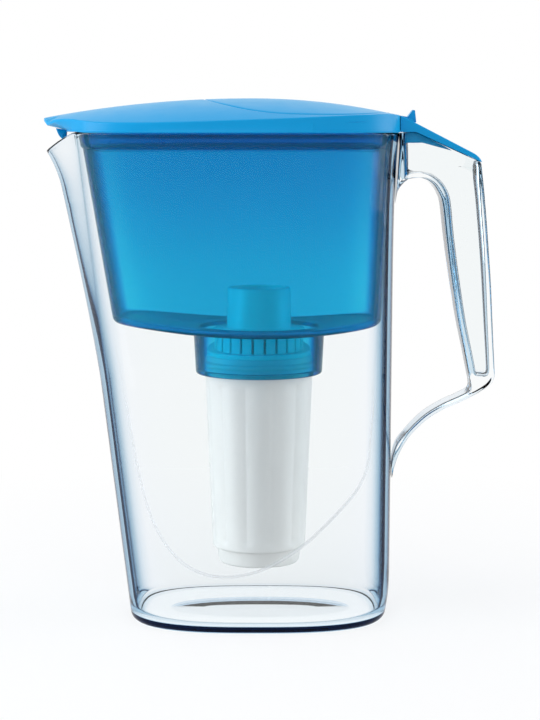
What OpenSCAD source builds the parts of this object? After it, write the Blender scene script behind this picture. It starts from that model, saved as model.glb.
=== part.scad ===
// Water filter pitcher: a clear jug with a spout and a hollow handle, a hopper that hangs in it, a drop-in
// cartridge, and a domed lid with a flap that tips back over the handle.
// +Z is up, the table is z = 0, the spout points to -X and the handle to +X.

/* [Jug] */
// Height of the jug's rim over the table
rim_z = 240; // [222:1:290]
// Length of the rim along X, without the spout
rim_len = 163.7; // [136:0.1:197]
// Width of the rim across Y
rim_w = 104.4; // [98:0.2:125.4]
// Place of the rim's handle side along X
rim_back = 64.5; // [60:0.5:70]
// Length of the base along X
base_len = 128.4; // [108:0.2:150]
// Width of the base across Y
base_w = 97; // [84:0.5:116]
// How far the rim's handle side stands out past the base's
back_lean = 4.7; // [2:0.1:8]
// Thickness of the jug's wall
jug_wall = 2.4; // [1.8:0.1:3]
// Round at the foot of the wall
foot_r = 3.5; // [3:0.1:6]
// Height of the raised oval in the jug's floor
kick_h = 2.4; // [1:0.1:4]
// Length of the raised oval
kick_len = 86; // [60:1:92]
// Width of the raised oval
kick_w = 60; // [40:1:66]

/* [Spout] */
// Height over the table where the spout starts to swell
spout_foot = 118; // [80:1:140]
// How far the spout swells out before its lip
spout_reach = 9.2; // [4:0.1:12]
// How much further the lip curls out
lip_curl = 3.6; // [1:0.1:5]
// Height of the curled part under the lip
lip_h = 19; // [10:0.5:24]
// How far the lip lies below the rim
lip_drop = 9; // [4:0.5:12]
// Width of the spout across Y
spout_w = 56; // [40:1:70]

/* [Handle] */
// How far the foot of the grip stands out from the jug's rim
grip_out = 47.8; // [42:0.2:58]
// How much further out the foot of the grip is than its top
grip_lean = 6.2; // [2:0.1:9]
// Height of the handle, from the rim to the foot of the grip
grip_h = 127; // [106:1:152]
// Thickness of the grip, front to back, under the arch
grip_top_t = 21; // [18:0.5:24]
// Thickness of the grip, front to back, near its foot
grip_foot_t = 12.6; // [11:0.1:14]
// Width of the handle across Y
handle_w = 25; // [21:0.5:30]
// Depth of the handle's arm, from the rim to the top of the finger hole
arm_h = 22.5; // [19:0.5:25]
// Wall of the hollow handle
handle_wall = 2.4; // [1.8:0.1:2.8]
// Thickness of the brace
brace_t = 2.6; // [2:0.1:4]
// How far the brace's sides lie inside the handle's
brace_in = 4; // [3:0.5:6]
// How far the brace meets the wall below the rim
brace_drop = 168; // [150:1:180]

/* [Funnel] */
// Height of the funnel, from the jug's rim to its lower edge
funnel_h = 94; // [78:1:114]
// Thickness of the funnel's wall
funnel_wall = 1.8; // [1.4:0.1:2.4]
// Space between the funnel's top and the inside of the jug's wall, at the spout
funnel_front_gap = 3.1; // [2.6:0.1:6]
// Space between the funnel's top and the inside of the jug's wall, elsewhere
funnel_side_gap = 1.6; // [1.5:0.1:4]
// How far the funnel's lower edge steps in at the spout side
funnel_front_in = 16.2; // [13:0.1:20]
// How far the funnel's lower edge steps in elsewhere
funnel_side_in = 4.5; // [3.5:0.1:8]
// Fall of the funnel's floor from its edge to the socket
floor_fall = 5; // [3:0.1:8]
// Height of the band under the funnel's rim
band_h = 8; // [5:0.5:12]
// Thickness of the rim flange
flange_t = 1.5; // [1.2:0.1:2]

/* [Socket] */
// Space between the cartridge's body and the outside of the socket's top
socket_side = 5.9; // [5.4:0.1:8]
// Height of the socket
socket_h = 21; // [19:0.5:26]
// Wall of the socket
socket_wall = 2.2; // [1.6:0.1:2.4]
// Place of the socket's axis along X
socket_x = -5; // [-10:0.5:0]
// How much the socket narrows to its foot, on the diameter
socket_taper = 2.2; // [1:0.1:3]

/* [Cartridge] */
// Outer diameter of the cartridge's body under the socket
cup_d = 53.5; // [44.5:0.1:54]
// How much narrower the cartridge's body is at its foot, on the diameter
cup_taper = 7.5; // [3:0.1:10]
// Length of the cartridge's body below the socket
cup_len = 86.5; // [72:0.5:96]
// Wall of the cartridge's body
cup_wall = 1.6; // [1.2:0.1:2]
// Number of flutes round the body
flutes = 12; // [8:1:18]
// Depth of the flutes
flute_depth = 0.7; // [0.3:0.1:0.8]
// Height of the bottom cap
base_h = 8; // [6:0.5:11]
// Diameter of the knob
knob_d = 32; // [26:0.5:38]
// Height of the knob over the cap's disc
knob_h = 20.5; // [14:0.5:25]
// How far the cap's disc lies inside the body's outside
disc_in = 3.75; // [1:0.05:4]
// Number of inlet slots
slots = 24; // [12:1:30]
// Width of an inlet slot
slot_w = 1.2; // [0.8:0.1:2]

/* [Lid] */
// How far the lid stands out past the jug's rim
lid_over = 0.8; // [0.4:0.1:2]
// Height of the lid's crown over the jug's rim
crown_h = 16.75; // [14:0.25:20]
// How far the crown falls to the tip of the beak
beak_fall = 9.75; // [8:0.25:11]
// How far the crown falls to the handle side
back_fall = 8.5; // [7:0.25:9.5]
// Place of the crown's highest point along X
crown_x = -9.5; // [-20:0.5:0]
// Height of the lid's side over the rim at the spout
side_front_h = 2.6; // [2.2:0.1:4]
// Height of the lid's side over the rim at the handle
side_back_h = 8.2; // [7.8:0.1:9]
// How far the beak stands out past the lid's edge
beak_reach = 12.2; // [8:0.2:16]
// How far the beak covers past each side of the spout
beak_side = 3; // [1:0.5:6]
// Thickness of the lid's skin
lid_t = 2; // [1.6:0.1:2.4]

/* [Tail] */
// How far the tail stands out past each side of the handle
tail_over = 1; // [0:0.1:2]
// Depth of the tail at its end
tail_t = 4.6; // [3.8:0.1:5.4]
// Length of the level stretch of the tail, from the lid's edge
tail_flat = 7; // [5:0.5:9]
// Fall of the tail's slope for each millimetre along X
tail_slope = 0.4545; // [0.4:0.01:0.5]

/* [Flap] */
// Distance of the flap's nose behind the lid's front edge
flap_front_in = 68; // [56:0.5:80]
// Distance of the flap's rear edge ahead of the lid's rear edge
flap_back_in = 6.8; // [6:0.1:9]
// Distance of the flap's sides inside the lid's
flap_side_in = 7; // [6:0.1:12]
// Thickness of the flap
flap_t = 2; // [1.6:0.1:2.2]
// Distance of the pivot behind the lid's rear edge
pivot_out = 4.2; // [3.8:0.1:5]
// Height of the pivot over the jug's rim
pivot_h = 5.2; // [5:0.1:5.6]
// Diameter of the pivot rod
pivot_d = 3; // [2.4:0.1:3.2]
// Width of the tongue between flap and pivot
tongue_w = 14; // [10:0.5:15]
// Width of the thumb tab
tab_w = 10; // [7:0.5:10]
// Height of the thumb tab's tip over the pivot
tab_h = 5.8; // [4.5:0.1:6.5]

/* [Fits] */
// Running clearance of the pivot rod in its holes, on the radius
run_gap = 0.05; // [0.03:0.01:0.1]
// Space between pieces that lie side by side
side_gap = 0.3; // [0.2:0.05:0.4]
// Seam round the flap
seam = 0.6; // [0.5:0.05:0.8]
// Space between the lid's lower edge and the jug's rim
lid_lift = 0.5; // [0.3:0.1:0.8]
// How far the flange lies inside the outside of the jug's rim
flange_in = 0.9; // [0.8:0.1:1]

/* [Hidden] */
$fn = 72;

// Shape of the plan: 2 would be an ellipse, more is squarer
plan_n = 2.8;
nose_n = 2;
kick_n = 2.2;
ring_n = 72;
tip_crowd = 11;
rim_edge = 0.5;
floor_z = 3;
floor_r = 5;

rim_front = rim_back - rim_len;
base_back = rim_back - back_lean;
base_front = base_back - base_len;
kick_x = (base_front + base_back) / 2;
lip_z = rim_z - lip_drop;
grip_foot_z = rim_z - grip_h;
grip_foot_x = rim_back + grip_out;
arch_z = rim_z - arm_h;
funnel_z = rim_z - funnel_h;
socket_top_z = funnel_z - floor_fall;
socket_z = socket_top_z - socket_h;
lid_z = rim_z + lid_lift;
seat_z = rim_z + flange_t;
lid_front = rim_front - lid_over;
lid_back = rim_back + lid_over;
lid_half = rim_w / 2 + lid_over;
pivot_x = lid_back + pivot_out;
pivot_z = rim_z + pivot_h;
cup_foot_d = cup_d - cup_taper;
socket_d = cup_d + 2 * socket_side;
disc_d = cup_d - 2 * disc_in;
brace_w = handle_w - 2 * brace_in;
tail_w = handle_w + 2 * tail_over;
flap_nose = lid_front + flap_front_in;
flap_w = 2 * (lid_half - flap_side_in);
beak_w = spout_w + 2 * beak_side;

// ---- small maths ----
function lerp(a, b, t) = a + (b - a) * t;
function unit(t) = max(0, min(1, t));
function arc(r, t) = [r * cos(t), r * sin(t)];
function middle(v) = (min(v) + max(v)) / 2;
function ring_middle(ring) = [for (i = [0:2]) middle([for (p = ring) p[i]])];
function lift(flat, z) = [for (p = flat) [p.x, p.y, z]];
function bezier(p, t) =
    pow(1 - t, 3) * p[0] + 3 * t * pow(1 - t, 2) * p[1] + 3 * t * t * (1 - t) * p[2] + pow(t, 3) * p[3];

// Angles round a plan, closer together at its two ends along X
turns = [for (k = [0:ring_n - 1]) let (t = 360 * k / ring_n) t - tip_crowd * sin(2 * t)];

// Distance from the middle to the edge of a rounded oval with half sizes a and b, at angle t
function oval_r(t, a, b, n) = pow(pow(abs(cos(t)) / a, n) + pow(abs(sin(t)) / b, n), -1 / n);

// Point at angle t of the oval from x0 to x1 with half width b
function oval(t, x0, x1, b, n = plan_n) = [(x0 + x1) / 2, 0] + arc(oval_r(t, (x1 - x0) / 2, b, n), t);

// Closed surface through rings of equally many points. The rings run anticlockwise seen from above, up the
// outside and down the inside. A loop of rings closes on itself, and a row of rings gets a fan at each end.
module skin(rings, loop = false) {
    n = len(rings[0]);
    m = len(rings);
    last = loop ? m - 1 : m - 2;
    points = [for (r = rings) for (p = r) p];
    tips = loop ? [] : [ring_middle(rings[0]), ring_middle(rings[m - 1])];
    sides = [for (i = [0:last]) for (k = [0:n - 1])
        let (a = i * n + k, b = i * n + (k + 1) % n, c = ((i + 1) % m) * n + k,
             d = ((i + 1) % m) * n + (k + 1) % n)
        each [[a, c, d], [a, d, b]]];
    foot = [for (k = [0:n - 1]) [m * n, k, (k + 1) % n]];
    head = [for (k = [0:n - 1]) [m * n + 1, (m - 1) * n + (k + 1) % n, (m - 1) * n + k]];
    polyhedron(points = concat(points, tips), faces = concat(sides, loop ? [] : foot, loop ? [] : head),
        convexity = 10);
}

// ---- jug ----
function jug_front(z) = lerp(base_front, rim_front, z / rim_z);
function jug_back(z) = base_back + 0.5 * back_lean * z / rim_z + 0.5 * back_lean * pow(unit(z / rim_z), 12)
    - 0.5 * back_lean * pow(unit(1 - z / 22), 2);
function jug_half(z) = lerp(base_w, rim_w, z / rim_z) / 2;
function spout_share(y, half) = pow(max(0, 1 - pow(y / half, 2)), 2);
function spout_out(z) = spout_reach * pow(unit((z - spout_foot) / (lip_z - spout_foot)), 1.2)
    + lip_curl * pow(unit((z - lip_z + lip_h) / lip_h), 2);
function jug_oval(t, z, inset) =
    oval(t, jug_front(z) + inset, jug_back(z) - inset, jug_half(z) - inset);

// Point of the jug's wall: the spout swells out, and its rim dips to the lip
function jug_point(t, z, inset) =
    let (p = jug_oval(t, z, inset))
    let (share = cos(t) < 0 ? spout_share(p.y, spout_w / 2 - inset) : 0)
    let (dip_z = rim_z - 4 * lip_drop)
    let (h = z - lip_drop * share * unit((z - dip_z) / (rim_z - dip_z)))
    let (q = jug_oval(t, h, inset))
    [q.x - share * spout_out(h), q.y, h];
function jug_ring(z, inset) = [for (t = turns) jug_point(t, z, inset)];
function kick_ring(grow, z) = lift([for (t = turns)
    oval(t, kick_x - kick_len / 2 - grow, kick_x + kick_len / 2 + grow, kick_w / 2 + grow, kick_n)], z);

wall_levels = concat([for (k = [0:3]) lerp(foot_r, spout_foot, k / 4)],
    [for (k = [0:9]) lerp(spout_foot, rim_z - rim_edge, sin(9 * k + 4.5))]);
// X of the jug's back wall at y and z
function wall_x(y, z) =
    let (a = (jug_back(z) - jug_front(z)) / 2)
    jug_back(z) - a + a * pow(max(0, 1 - pow(abs(y) / jug_half(z), plan_n)), 1 / plan_n);

module jug_vessel() {
    outside = concat(
        [kick_ring(-kick_w / 4, kick_h), kick_ring(-kick_h, kick_h), kick_ring(0, 0)],
        [for (a = [0, 30, 60]) jug_ring(foot_r * (1 - cos(a)), foot_r * (1 - sin(a)))],
        [for (z = wall_levels) jug_ring(z, 0)],
        [jug_ring(rim_z - rim_edge, 0), jug_ring(rim_z, rim_edge)]);
    inside = concat(
        [jug_ring(rim_z, jug_wall - rim_edge), jug_ring(rim_z - rim_edge, jug_wall)],
        [for (k = [len(wall_levels) - 1:-1:1]) jug_ring(wall_levels[k], jug_wall)],
        [for (a = [0, 30, 60, 90])
            jug_ring(floor_z + floor_r * (1 - sin(a)), jug_wall + floor_r * (1 - cos(a)))],
        [kick_ring(1, floor_z), kick_ring(1 - kick_h, floor_z + kick_h),
            kick_ring(-kick_w / 4, floor_z + kick_h)]);
    color([0.86, 0.93, 0.97, 0.35]) skin(concat(outside, inside));
}

// ---- handle ----
// Height of the tail's underside along X, and of the handle's top edge just below it
function tail_low(x) = rim_z - tail_slope * max(0, x - lid_back - tail_flat);
function mouth_z(x) = tail_low(x) - side_gap;
function grip_back(z) = grip_foot_x - grip_lean * unit((z - grip_foot_z) / grip_h);

// Each step gives the finger side, the outer side and the half width of one ring of the grip
grip_front = [
    [grip_back(arch_z) - grip_top_t, arch_z - 15],
    [grip_back(arch_z) - grip_top_t + 1, arch_z - 45],
    [grip_foot_x - grip_foot_t - 8, grip_foot_z + 37],
    [grip_foot_x - grip_foot_t, grip_foot_z + 5]];
function low_step(t) = let (p = bezier(grip_front, t))
    [p, [grip_back(p.y), p.y], lerp(handle_w / 2, handle_w / 2 - 3, t * t)];
arch_w = grip_front[0].x - rim_back;
// The arch is a quarter of an oval from the grip's finger side to its top, then runs level to the wall
function arch_step(a) = let (x = grip_front[0].x - 0.55 * arch_w * (1 - cos(a)))
    [[x, arch_z - 15 * (1 - sin(a))], [grip_back(arch_z - 6 + a / 15), arch_z - 12 + a / 10], handle_w / 2];
grip_steps = concat(
    [[[grip_foot_x - 0.8 * grip_foot_t, grip_foot_z + 0.6], [grip_foot_x - 3, grip_foot_z + 1], 5],
     [[grip_foot_x - 0.95 * grip_foot_t, grip_foot_z + 2], [grip_foot_x - 0.8, grip_foot_z + 3], 8]],
    [for (t = [1:-0.2:0.1]) low_step(t)],
    [for (a = [0:22.5:90]) arch_step(a)],
    [[[rim_back, arch_z + 3.5], [grip_back(arch_z + 3), arch_z + 1], handle_w / 2]]);
handle_n = 40;

// Ring between the finger side and the outer side of a step, kept off the jug's wall
function grip_ring(step, inset, level) = [for (k = [0:handle_n - 1])
    let (t = 360 * k / handle_n, p = oval(t, -1, 1, 1, 4))
    let (cx = lerp(step[0].x + inset, step[1].x - 1.4 * inset, (p.x + 1) / 2))
    let (y = (step[2] - inset) * p.y, z = lerp(step[0].y, step[1].y, (p.x + 1) / 2) + level)
    [max(cx, wall_x(y, z) + inset + 0.1), y, z]];
function mouth_ring(inset) = [for (p = grip_ring([[rim_back, 0], [grip_back(rim_z - 16), 0], handle_w / 2],
    inset, rim_z - 8)) [p.x, p.y, mouth_z(p.x)]];

module handle_grip() {
    hollow_from = 4;
    outside = concat([for (s = grip_steps) grip_ring(s, 0, 0)], [mouth_ring(0)]);
    inside = concat([mouth_ring(handle_wall)], [for (k = [len(grip_steps) - 1:-1:hollow_from])
        grip_ring(grip_steps[k], handle_wall, handle_wall)]);
    color([0.88, 0.94, 0.97, 0.35]) skin(concat(outside, inside));
}

// Ribbon from the foot of the grip to the jug's wall, thick at right angles to its own run
brace_z = rim_z - brace_drop;
brace_line = [
    [grip_foot_x - grip_foot_t - 0.4, grip_foot_z + 1],
    [grip_foot_x - 0.6 * grip_out, grip_foot_z - 9.5],
    [jug_back(brace_z) + 3.2, brace_z + 22.7],
    [jug_back(brace_z) + 0.5 * brace_t + 0.1, brace_z]];
function turn(p, t) = let (d = bezier(p, t + 0.01) - bezier(p, t - 0.01)) [-d.y, d.x] / norm(d);
function brace_side(side) = [for (t = [0:0.05:1]) bezier(brace_line, t) + side * turn(brace_line, t)];
function off_wall(p) = [max(p.x, jug_back(p.y) + 0.1), p.y];

module handle_brace() {
    half = brace_t / 2;
    up = brace_side(-half);
    down = brace_side(half);
    outline = [for (p = concat(up, [for (k = [len(down) - 1:-1:0]) down[k]])) off_wall(p)];
    color([0.84, 0.92, 0.97, 0.4]) translate([0, brace_w / 2, 0]) rotate([90, 0, 0])
        linear_extrude(brace_w) polygon(outline);
}

// ---- funnel ----
// Plan of the funnel at a height, drawn in by the inset
function funnel_ring(z, inset) =
    let (u = unit((rim_z - z) / funnel_h))
    lift([for (t = turns) oval(t,
        rim_front + jug_wall + funnel_front_gap + funnel_front_in * u + inset,
        rim_back - jug_wall - funnel_side_gap - funnel_side_in * u - inset,
        rim_w / 2 - jug_wall - funnel_side_gap - 1.5 - funnel_side_in * u - inset)], z);
function round_ring(r, z) = lift([for (t = turns) [socket_x, 0] + arc(r, t)], z);
function flange_ring(z) = lift([for (t = turns) jug_oval(t, rim_z, flange_in)], z);
hole_r = socket_d / 2 - socket_wall;

module funnel() {
    corner = 3;
    rings = concat(
        [round_ring(hole_r, socket_top_z), round_ring(hole_r + 3, socket_top_z)],
        [for (a = [0:30:90]) funnel_ring(funnel_z + corner * (1 - cos(a)), corner * (1 - sin(a)))],
        [funnel_ring(rim_z - band_h, 0), funnel_ring(rim_z - band_h + 0.8, -0.8), funnel_ring(rim_z, -0.8)],
        [flange_ring(rim_z), flange_ring(seat_z)],
        [funnel_ring(seat_z, funnel_wall), funnel_ring(rim_z - band_h, funnel_wall)],
        [for (a = [90:-30:0]) funnel_ring(funnel_z + funnel_wall + corner * (1 - cos(a)),
            funnel_wall + corner * (1 - sin(a)))],
        [round_ring(hole_r + 3, socket_top_z + funnel_wall), round_ring(hole_r, socket_top_z + funnel_wall)]);
    color([0.11, 0.58, 0.82, 0.7]) skin(rings, true);
}

lip_t = 2.4;
cup_r = cup_d / 2;
lip_r = cup_r + 0.45;

module funnel_socket() {
    top_r = socket_d / 2;
    low_r = top_r - socket_taper / 2;
    round = 1.5;
    section = concat(
        [[lip_r, socket_z], [low_r - round, socket_z]],
        [for (a = [-60:30:0]) [low_r - round, socket_z + round] + arc(round, a)],
        [[top_r, socket_top_z], [hole_r, socket_top_z], [low_r - socket_wall, socket_z + lip_t]],
        [[lip_r, socket_z + lip_t]]);
    color([0.1, 0.52, 0.7, 0.8]) translate([socket_x, 0, 0]) rotate_extrude() polygon(section);
}

// ---- cartridge ----
seal_t = 1.8;
flange_z = socket_z + lip_t + seal_t;
flange_r = hole_r - socket_taper / 2 - 0.6;
rim_cup_z = flange_z + 4.8;
cup_z = socket_z - cup_len;
neck_r = cup_r - 0.5;
cup_in = cup_wall + flute_depth;
cap_seat = 2.2;

// Radius of the cup at a height: straight taper, with flutes that die away at both ends
function cup_radius(t, z) =
    let (u = unit((z - cup_z) / cup_len), fade = unit((z - cup_z - 1.5) / 3) * unit((socket_z - 2 - z) / 3))
    lerp(cup_foot_d / 2, cup_r, u) - flute_depth * fade * (1 - abs(cos(flutes * t / 2)));
even = [for (k = [0:ring_n - 1]) 360 * k / ring_n];
function cup_ring(z) = lift([for (t = even) [socket_x, 0] + arc(cup_radius(t, z), t)], z);
function plain_ring(r, z) = lift([for (t = even) [socket_x, 0] + arc(r, t)], z);
function cup_inner(z) = lerp(cup_foot_d / 2, cup_r, unit((z - cup_z) / cup_len)) - cup_in;
base_r = cup_inner(cup_z) + 0.9;

module cartridge_body() {
    outside = concat(
        [plain_ring(base_r, cup_z)],
        [for (z = [cup_z + 1.5, cup_z + 4.5, (cup_z + socket_z) / 2, socket_z - 5, socket_z - 2]) cup_ring(z)],
        [plain_ring(cup_r, socket_z), plain_ring(cup_r, flange_z)],
        [plain_ring(flange_r, flange_z), plain_ring(flange_r, flange_z + 2.2)],
        [plain_ring(neck_r, flange_z + 2.2), plain_ring(neck_r, rim_cup_z)]);
    inside = [plain_ring(cup_r - cup_in, rim_cup_z), plain_ring(cup_r - cup_in, socket_z),
        plain_ring(cup_inner(cup_z), cup_z)];
    color([0.93, 0.94, 0.94, 0.9]) skin(concat(outside, inside), true);
}

disc_t = 2.4;
disc_z = socket_top_z - 1;
module cartridge_cap() {
    skirt_r = disc_d / 2 - 0.6;
    skirt_t = 1.8;
    knob_r = knob_d / 2;
    knob_wall = 2;
    top_z = disc_z + disc_t + knob_h;
    section = [[skirt_r - skirt_t, rim_cup_z], [neck_r, rim_cup_z], [neck_r, rim_cup_z + cap_seat],
        [skirt_r, rim_cup_z + cap_seat], [skirt_r, disc_z], [disc_d / 2, disc_z],
        [disc_d / 2, disc_z + disc_t - 0.6], [disc_d / 2 - 0.6, disc_z + disc_t], [knob_r, disc_z + disc_t],
        [knob_r, top_z - 0.6], [knob_r - 0.6, top_z], [knob_r - knob_wall, top_z],
        [knob_r - knob_wall, disc_z + disc_t], [0, disc_z + disc_t], [0, disc_z],
        [skirt_r - skirt_t, disc_z]];
    slot_z = rim_cup_z + cap_seat;
    color([0.08, 0.77, 0.86]) translate([socket_x, 0, 0]) difference() {
        rotate_extrude() polygon(section);
        for (k = [0:slots - 1]) rotate([0, 0, 360 * (k + 0.5) / slots])
            translate([skirt_r - skirt_t - 0.5, -slot_w / 2, slot_z])
                cube([skirt_t + 0.5 + side_gap, slot_w, disc_z - slot_z - 0.4]);
    }
}

spigot_h = 3.4;
spigot_r = cup_inner(cup_z) - side_gap;
module cartridge_base() {
    foot_z = cup_z - base_h;
    low_r = base_r - 1.5;
    wall = 1.6;
    drains = 8;
    section = concat([[0, foot_z], [low_r - 2, foot_z]],
        [for (a = [-60:30:0]) [low_r - 2, foot_z + 2] + arc(2, a)],
        [[base_r - 0.3, cup_z], [spigot_r, cup_z], [spigot_r, cup_z + spigot_h],
         [spigot_r - wall, cup_z + spigot_h], [low_r - wall - 0.6, foot_z + 2.4], [0, foot_z + 2.4]]);
    color([0.95, 0.95, 0.95]) translate([socket_x, 0, 0]) difference() {
        rotate_extrude() polygon(section);
        for (k = [0:drains - 1]) rotate([0, 0, 360 * k / drains])
            translate([5, -1, foot_z - 1]) cube([8, 2, 5]);
    }
}

module cartridge_seal() {
    color([0.85, 0.88, 0.9]) translate([socket_x, 0, socket_z + lip_t]) rotate_extrude()
        translate([cup_r + 0.15, 0]) square([flange_r - cup_r - 0.15, seal_t]);
}

// What fills the cup, from the base up: screen, pad, bed, pad, screen
screen_t = 0.8;
pad_t = 4;
out_pad_z = cup_z + spigot_h + screen_t;
bed_z = out_pad_z + pad_t;
in_screen_z = rim_cup_z - screen_t - 0.4;
in_pad_z = in_screen_z - pad_t;
function fill_r(z) = min(cup_inner(z), cup_r - cup_in) - side_gap;

module slab(z0, z1) {
    translate([socket_x, 0, z0]) cylinder(h = z1 - z0, r = min(fill_r(z0), fill_r(z1)));
}

module outlet_screen() {
    color([0.97, 0.97, 0.97]) slab(cup_z + spigot_h, out_pad_z);
}

module outlet_pad() {
    color([0.9, 0.9, 0.88]) slab(out_pad_z, bed_z);
}

module filter_media() {
    color([0.35, 0.34, 0.33]) translate([socket_x, 0, bed_z])
        cylinder(h = in_pad_z - bed_z, r1 = fill_r(bed_z), r2 = fill_r(in_pad_z));
}

module inlet_pad() {
    color([0.9, 0.9, 0.88]) slab(in_pad_z, in_screen_z);
}

module inlet_screen() {
    color([0.97, 0.97, 0.97]) slab(in_screen_z, in_screen_z + screen_t);
}

// ---- lid ----
flap_back = lid_back - flap_back_in;
flap_x = flap_nose + (flap_back - flap_nose) / 2;

// Height of the lid's top: a crown along X that falls to the line of the sides across Y
function crown(x) = rim_z + crown_h - (x < crown_x
    ? beak_fall * pow((crown_x - x) / (crown_x - lid_front + beak_reach), 2)
    : back_fall * pow((x - crown_x) / (rim_back - crown_x), 2.1));
function side_line(x) = rim_z + lerp(side_front_h, side_back_h, (x - rim_front) / rim_len);
function dome_half(x) =
    let (mid = (lid_front + lid_back) / 2, long = (lid_back - lid_front) / 2 + (x < mid ? 9 : 7))
    lid_half * pow(max(0.02, 1 - pow(abs(x - mid) / long, plan_n)), 1 / plan_n);
function lid_top(x, y) = let (c = crown(x), e = min(c, side_line(x)))
    lerp(c, e, pow(unit(abs(y) / dome_half(x)), 2.2));

// Angles round the flap's middle, with a close pair at each side of the tongue's notch
notch = atan((tongue_w / 2 + side_gap) / (flap_back + seam - flap_x));
lid_n = 78;
function lid_turn(k) = let (t = 360 * k / lid_n) t - tip_crowd / 2 * sin(2 * t);
plain_turns = [for (k = [0:lid_n - 1]) let (t = lid_turn(k)) if (min(t, 360 - t) > notch + 1) t];
lid_turns = concat([0, notch / 2, notch, notch + 0.5], plain_turns,
    [360 - notch - 0.5, 360 - notch, 360 - notch / 2]);
function in_notch(t) = t < notch + 0.2 || t > 359.8 - notch;

// Edge of the flap, which is rounder at its nose than at its rear, grown by a margin
function flap_edge(t, grow) = [flap_x, 0] + arc(oval_r(t, (flap_back - flap_nose) / 2 + grow,
    flap_w / 2 + grow, cos(t) < 0 ? nose_n : plan_n), t);

// Distance from the flap's middle to the rim's plan, found by halving
function plan_side(p, inset) =
    let (mid = (rim_front + rim_back) / 2, a = rim_len / 2 - inset, b = rim_w / 2 - inset)
    pow(abs(p.x - mid) / a, plan_n) + pow(abs(p.y) / b, plan_n);
function ray_r(t, inset, low = 20, high = 160, step = 0) =
    let (r = (low + high) / 2)
    step == 22 ? r : plan_side([flap_x, 0] + arc(r, t), inset) < 1
        ? ray_r(t, inset, r, high, step + 1) : ray_r(t, inset, low, r, step + 1);
function rim_edge_at(t, inset) = [flap_x, 0] + arc(ray_r(t, inset), t);
function beak_at(p) = [p.x - (p.x < rim_front + 60 ? beak_reach * spout_share(p.y, beak_w / 2) : 0), p.y];

// Height of the frame's upper skin, lower where the flap's tongue crosses the rear
tongue_t = 1.8;
function frame_top(p, t) = lid_top(p.x, p.y) - (in_notch(t) ? tongue_t + 0.2 : 0);

module lid_frame() {
    ledge = 3.5;
    rest = flap_t + side_gap;
    outline = [for (t = lid_turns) rim_edge_at(t, -lid_over)];
    beak = [for (p = outline) beak_at(p)];
    beak_in = [for (t = lid_turns) beak_at(rim_edge_at(t, 0.6 - lid_over))];
    hole = [for (t = lid_turns) flap_edge(t, seam)];
    hole_out = [for (t = lid_turns) flap_edge(t, seam + lid_t)];
    hole_in = [for (t = lid_turns) flap_edge(t, -ledge)];
    skirt = [for (t = lid_turns) rim_edge_at(t, flange_in - side_gap)];
    seat = [for (t = lid_turns) rim_edge_at(t, 3.6)];
    last = len(lid_turns) - 1;
    function top(flat, drop) = [for (k = [0:last])
        [flat[k].x, flat[k].y, max(seat_z + 0.4, frame_top(flat[k], lid_turns[k]) - drop)]];
    function under(flat, drop) = [for (k = [0:last])
        [flat[k].x, flat[k].y, max(seat_z, lid_top(flat[k].x, flat[k].y) - drop)]];
    function between(a, b, u) = [for (k = [0:last]) lerp(a[k], b[k], u)];
    rings = concat(
        [lift(outline, lid_z), top(beak, 0.9), top(beak_in, 0)],
        [for (u = [0.2, 0.4, 0.6, 0.8]) top(between(beak_in, hole, u), 0)],
        [top(hole, 0), under(hole, rest), under(hole_in, rest), under(hole_in, rest + lid_t)],
        [under(hole, rest + lid_t), under(hole_out, max(lid_t, tongue_t + 1.4))],
        [for (u = [0.3, 0.65]) under(between(hole_out, seat, u), max(lid_t, tongue_t + 1.4))],
        [lift(seat, seat_z), lift(skirt, seat_z), lift(skirt, lid_z)]);
    color([0.15, 0.62, 0.86]) skin(rings, true);
}

// The tail is an upturned channel with a slot for the thumb tab and holes for the pivot rod
tail_wall = 2;
tail_end = grip_back(rim_z - 16) + 0.2;
function tail_top(x) = min(lid_top(lid_back, 0) - 0.52 * (x - lid_back), tail_low(x) + tail_t
    + 3.4 * unit((lid_back + 22 - x) / 22));

module tail_side(drop, x0, x1, width) {
    steps = 10;
    top = [for (k = [0:steps]) let (x = lerp(x0, x1, k / steps)) [x, tail_top(x) - drop]];
    low = [for (k = [steps:-1:0]) let (x = lerp(x0, x1, k / steps)) [x, tail_low(x) - (drop > 0 ? 2 : 0)]];
    translate([0, width / 2, 0]) rotate([90, 0, 0]) linear_extrude(width) polygon(concat(top, low));
}

module lid_tail() {
    half = tail_w / 2;
    round = 4;
    reach = pivot_out + tab_h + 3.4;
    color([0.13, 0.6, 0.84]) difference() {
        intersection() {
            tail_side(0, lid_back - 4, tail_end, tail_w);
            translate([0, 0, rim_z - 60]) linear_extrude(120) polygon(concat(
                [[lid_back - 6, -half], [tail_end - round, -half]],
                [for (a = [-60:30:60]) [tail_end - round, sign(a) * (half - round)] + arc(round, a)],
                [[tail_end - round, half], [lid_back - 6, half]]));
        }
        tail_side(flap_t, lid_back - 3, tail_end - tail_wall, tail_w - 2 * tail_wall);
        translate([0, 0, rim_z - 10]) linear_extrude(30)
            polygon([for (t = turns) rim_edge_at(t, -lid_over - 0.1)]);
        translate([lid_back - 2, -tongue_w / 2 - 0.6, rim_z])
            cube([reach + 2, tongue_w + 1.2, 20]);
        translate([pivot_x, half + 1, pivot_z]) rotate([90, 0, 0])
            cylinder(h = tail_w + 2, d = pivot_d + 2 * run_gap);
    }
}

module lid_rib() {
    thick = 2.4;
    tip = lid_front;
    color([0.05, 0.65, 0.88]) translate([0, thick / 2, 0]) rotate([90, 0, 0]) linear_extrude(thick)
        polygon([[tip - 1.2, lid_z + 0.3], [tip - 5.2, lid_z + 2.1], [tip - 4.6, lid_z - 3.6],
            [tip - 1.6, lid_z - 5.2]]);
}

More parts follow.
